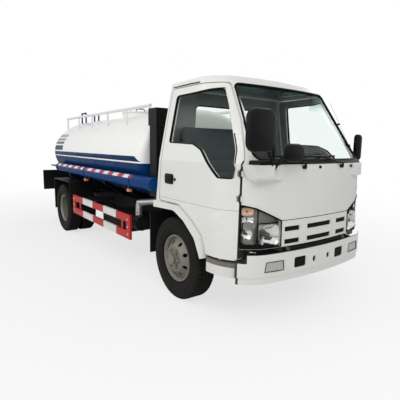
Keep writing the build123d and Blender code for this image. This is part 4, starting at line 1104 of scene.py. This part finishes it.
# %% Mirrors
# name, body, middle of the flat side, width, height, corner, depth and rounding, replaced node
HEADS = (
    ("main_mirror", "cab", (1030, -831, 1544), 246, 292, 72, 55, 30, "mirrors_right"),
    ("near_mirror", "cab", (1000, -435, 1394), 204, 138, 68, 42, 32, None),
    ("door_mirror", "door_left", (690, 908, 1442), 92, 265, 45, 48, 26, "mirror_left"),
)
GLASS_INSET, GLASS_THICK, GLASS_EDGE = 24, 3, 2
for name, body, middle, wide, high, corner, deep, edge, node in HEADS:
    housing = plate(spot(*middle), ACROSS, UPWARDS, wide, high, corner, deep, edge)
    head = built(name, [housing], body, "black_plastic")
    if node:
        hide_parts(node)
    sheet = plate(spot(*middle), -ACROSS, UPWARDS, wide - GLASS_INSET, high - GLASS_INSET,
                  corner - GLASS_INSET / 2, GLASS_THICK, GLASS_EDGE)
    built(name + "_glass", [sheet], body, "mirror")

FOOT = (962, -610, 1250)
STAYS = (
    (FOOT, (985, -650, 1345), (1045, -760, 1430)),
    (FOOT, (1000, -640, 1630), (1045, -760, 1666)),
    (FOOT, (990, -560, 1345), (1015, -470, 1385)),
)
DOOR_STAYS = [((520, 862, z), (520, 890, z), (712, 908, z + 190)) for z in (1130, 1165)]
MAST = ((740, 712, 1452), (615, 711, 1671), (489, 710, 1890))
HOLDERS = (((742, 670, 1440), (741, 714, 1450), (730, 713, 1468)), ((592, 640, 1660), MAST[1]))
bars("mirror_stays", map(spots, STAYS), 12, "cab", "black_plastic")
bars("door_mirror_stays", map(spots, DOOR_STAYS), 10, "door_left", "black_plastic")
bars("radio_mast", [spots(MAST)], 3.5, "cab", "silver_pipe")
bars("mast_holders", map(spots, HOLDERS), 9, "cab", "rubber")

# %% [markdown]
# The forward mirror stands on a painted pad at the corner of the cab, with a black base on
# top. The pad tapers downwards, and its edges are bevelled as pressed sheet is.

# %% Mirror pad
# height, outer and inner y, and how far ahead its face stands at those two, in millimetres
PAD_LEVELS = ((1306, -800, -606, 950, 990), (1212, -755, -608, 952, 988), (1196, -742, -612, 940, 974),
              (1180, -715, -625, 905, 925))
BASE_LEVELS = ((1302, -735, -560, 962, 998), (1326, -733, -562, 962, 998), (1336, -722, -573, 952, 988))
BACK_INNER, BACK_OUTER, PAD_BEVEL = 860, 836, 0.006
PADS = (("mirror_pad", PAD_LEVELS, "white_paint"), ("mirror_base", BASE_LEVELS, "black_plastic"))
for name, levels, look in PADS:
    rings = [spots(((x0, y0, z), (x1, y1, z), (BACK_INNER, y1, z), (BACK_OUTER, y0, z)))
             for z, y0, y1, x0, x1 in levels]
    pad = built(name, [rings], "cab", look)
    bevel = pad.modifiers.new("edges", "BEVEL")
    bevel.width, bevel.segments, bevel.limit_method = PAD_BEVEL, 3, "ANGLE"

# %% [markdown]
# ## Tank and chassis trim
# The tank is welded from rolled sheets, so a low bead runs round it at each joint. Rows of
# rivets mark the frame rails, bolts hold the side guards, and the intake's pipe has ribs.

# %% Tank and chassis trim
TANK_HALF, TANK_RISE, TANK_Z = 845, 560, 1300
WELDS = (-1372, -2045, -2718, -3391)
RIVET = ((11, -2), (11, 2), (9, 6), (5, 8.5), (2, 9.2))
RIVET_SPOTS = [(x, 350, z) for x in range(-4800, 800, 140) for z in (530, 660)]
BOLT = ((13, -2), (13, 8), (10, 10), (4, 10.5))
BOLT_SPOTS = [(x, 905, z) for x in (-2823, -895) for z in (440, 525, 610)]
PIPE_TOP, PIPE_FOOT = Vector((-1001, -706, 773)), Vector((-1021, -706, 600))
RIB_RADIUS, RIB_COUNT, RIB_FIRST, RIB_STEP = 37, 9, 22, 17

rounds = [[spot(x, TANK_HALF * a, TANK_Z + TANK_RISE * b) for a, b in circle(96, 1)] for x in WELDS]
bars("tank_welds", rounds, 3.5, "chassis", "tank_paint", closed=True)
for hand, side in SIDES:
    rivet = disc((0, 0, 0), side * ACROSS, RIVET, 10)
    points = [spot(x, side * y, z) for x, y, z in RIVET_SPOTS]
    repeated("rail_rivets_" + hand, points, rivet, "chassis", "frame_black")
    bolt = disc((0, 0, 0), side * ACROSS, BOLT, 12, flats=True)
    points = [spot(x, side * y, z) for x, y, z in BOLT_SPOTS]
    repeated("guard_bolts_" + hand, points, bolt, "chassis", "silver_pipe")
along = (PIPE_FOOT - PIPE_TOP).normalized()
aside = along.cross(ACROSS)
ribs = []
for n in range(RIB_COUNT):
    centre = PIPE_TOP + along * (RIB_FIRST + RIB_STEP * n)
    ribs.append([spot(*(centre + a * aside + b * ACROSS)) for a, b in circle(24, RIB_RADIUS)])
bars("pipe_bellows", ribs, 5, "chassis", "silver_pipe", closed=True)

# %% [markdown]
# A short neck stands round the mouth of the tank, just under the lid. The lid has clamps
# and a grip, and a drip rail runs over each door.

# %% Hatch and drip rails
NECK = ((250, 1815), (250, 1903), (249, 1905), (239, 1905), (238, 1903), (238, 1825))
LID_TOP = 1927.5
CLAMP = ((22, -2), (22, 9), (17, 12), (11, 12.5), (11, 26), (8, 28))
CLAMP_CIRCLE, CLAMP_TURNS = 232, (0, 60, 120, 240, 300)
GRIP_X, GRIP = -2340, ((-70, -2), (-70, 40), (-52, 52), (52, 52), (70, 40), (70, -2))
DRIP = ((225, 744, 1970), (100, 746, 1972), (-190, 744, 1970))

built("hatch_neck", [disc(spot(HATCH_X, 0, 0), UPWARDS, NECK, 64)], "chassis", "tank_paint")
turns = [math.radians(d) for d in CLAMP_TURNS]
points = [spot(HATCH_X + CLAMP_CIRCLE * math.cos(t), CLAMP_CIRCLE * math.sin(t), LID_TOP) for t in turns]
clamp = disc((0, 0, 0), UPWARDS, CLAMP, 12, flats=True)
repeated("hatch_clamps", points, clamp, "hatch_lid", "silver_pipe")
grip = [spot(GRIP_X, y, LID_TOP + rise) for y, rise in GRIP]
bars("hatch_grip", [grip], 8, "hatch_lid", "blue_paint")
drips = [[spot(x, side * y, z) for x, y, z in DRIP] for hand, side in SIDES]
bars("drip_rails", drips, 5, "cab", "rubber")

# %% [markdown]
# ## Seats
# The driver's seat and the bench have foam pads under woven cloth. Each pad starts as a
# rounded block a little smaller than the real one. The cloth simulation then fills it with
# air, as foam fills a cover, and how far it may swell is limited. Sewn channels are pressed
# in afterwards.

# %% Seat pads
SEAT_SPANS = ((150, 640), (-700, 40))
SIDE_ROOM = 30
# middle, length and corner of the cushion; then its levels as height and inset
CUSHION_X, CUSHION_LONG, CUSHION_CORNER = 205, 440, 0.06
CUSHION = ((968, 40), (984, 6), (1010, 0), (1028, 10), (1042, 50), (1046, 120))
# foot, thickness and corner of the back; then its levels as rise along its lean and inset
BACK_FOOT, BACK_THICK, BACK_CORNER = (-85, 1056), 92, 0.034
BACK = ((0, 20), (14, 6), (60, 0), (300, 0), (520, 4), (556, 12), (572, 30))
BACK_LEAN, BACK_FACE = Vector((-0.148, 0, 0.989)), Vector((0.989, 0, 0.148))
VOXEL, PRESSURE, STEPS, PAD_SWELL = 0.014, 4, 14, 0.014
BACK_CHANNELS, CUSHION_CHANNELS = (1180, 1300, 1420, 1540), (90, 210, 330)
BACK_FRONT, CUSHION_TOP = 20, 1030
CHANNEL_HALF, CHANNEL_DEEP = 16, 0.007
PLINTH_X, PLINTH_Z, PLINTH_LONG, PLINTH_ROOM = 200, 894, 430, 50
PLINTH_EDGES = (30, 76, 10)  # corner, height and rounding

stacks = []
for y0, y1 in SEAT_SPANS:
    middle, wide = (y0 + y1) / 2, y1 - y0 - SIDE_ROOM
    stacks.append([rounded(spot(CUSHION_X, middle, z), FORWARD, ACROSS,
                           *mm(CUSHION_LONG - inset, wide - inset), CUSHION_CORNER)
                   for z, inset in CUSHION])
    foot = spot(BACK_FOOT[0], middle, BACK_FOOT[1])
    stacks.append([rounded(foot + BACK_LEAN * rise / 1000, BACK_FACE, ACROSS,
                           *mm(BACK_THICK - inset, wide - inset), BACK_CORNER)
                   for rise, inset in BACK])
pads = add_object("seat_pads", stacked("seat_pads", stacks))
even = pads.modifiers.new("even", "REMESH")
even.mode, even.voxel_size = "VOXEL", VOXEL
pads.data = bpy.data.meshes.new_from_object(pads.evaluated_get(bpy.context.evaluated_depsgraph_get()))
pads.modifiers.clear()
before = [v.co.copy() for v in pads.data.vertices]
fill = pads.modifiers.new("fill", "CLOTH")
fill.settings.use_pressure = True
fill.settings.uniform_pressure_force = PRESSURE
fill.settings.effector_weights.gravity = 0
for step in range(1, STEPS + 1):
    bpy.context.scene.frame_set(step)
swollen = pads.evaluated_get(bpy.context.evaluated_depsgraph_get()).data
after = [v.co.copy() for v in swollen.vertices]
pads.modifiers.clear()
bpy.context.scene.frame_set(1)
for v, a, b in zip(pads.data.vertices, before, after):
    move = b - a
    v.co = a + move * min(1, PAD_SWELL / max(move.length, 1e-9))
for v in pads.data.vertices:
    x, z = (v.co.x - FRONT_AXLE) * 1000, v.co.z * 1000
    for channel in BACK_CHANNELS:
        if x < BACK_FRONT and abs(z - channel) < CHANNEL_HALF:
            v.co.x -= CHANNEL_DEEP * (1 - abs(z - channel) / CHANNEL_HALF)
    for channel in CUSHION_CHANNELS:
        if z > CUSHION_TOP and abs(x - channel) < CHANNEL_HALF:
            v.co.z -= CHANNEL_DEEP * (1 - abs(x - channel) / CHANNEL_HALF)
pads.data.materials.append(looks["seat_fabric"])
pads.data.shade_smooth()
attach(pads, "cab")
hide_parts("seats")
plinths = [plate(spot(PLINTH_X, (y0 + y1) / 2, PLINTH_Z), FORWARD, ACROSS, PLINTH_LONG,
                 y1 - y0 - PLINTH_ROOM, *PLINTH_EDGES)
           for y0, y1 in SEAT_SPANS]
built("seat_plinths", plinths, "cab", "dash_grey")
print("seat pads", len(pads.data.vertices), "points")
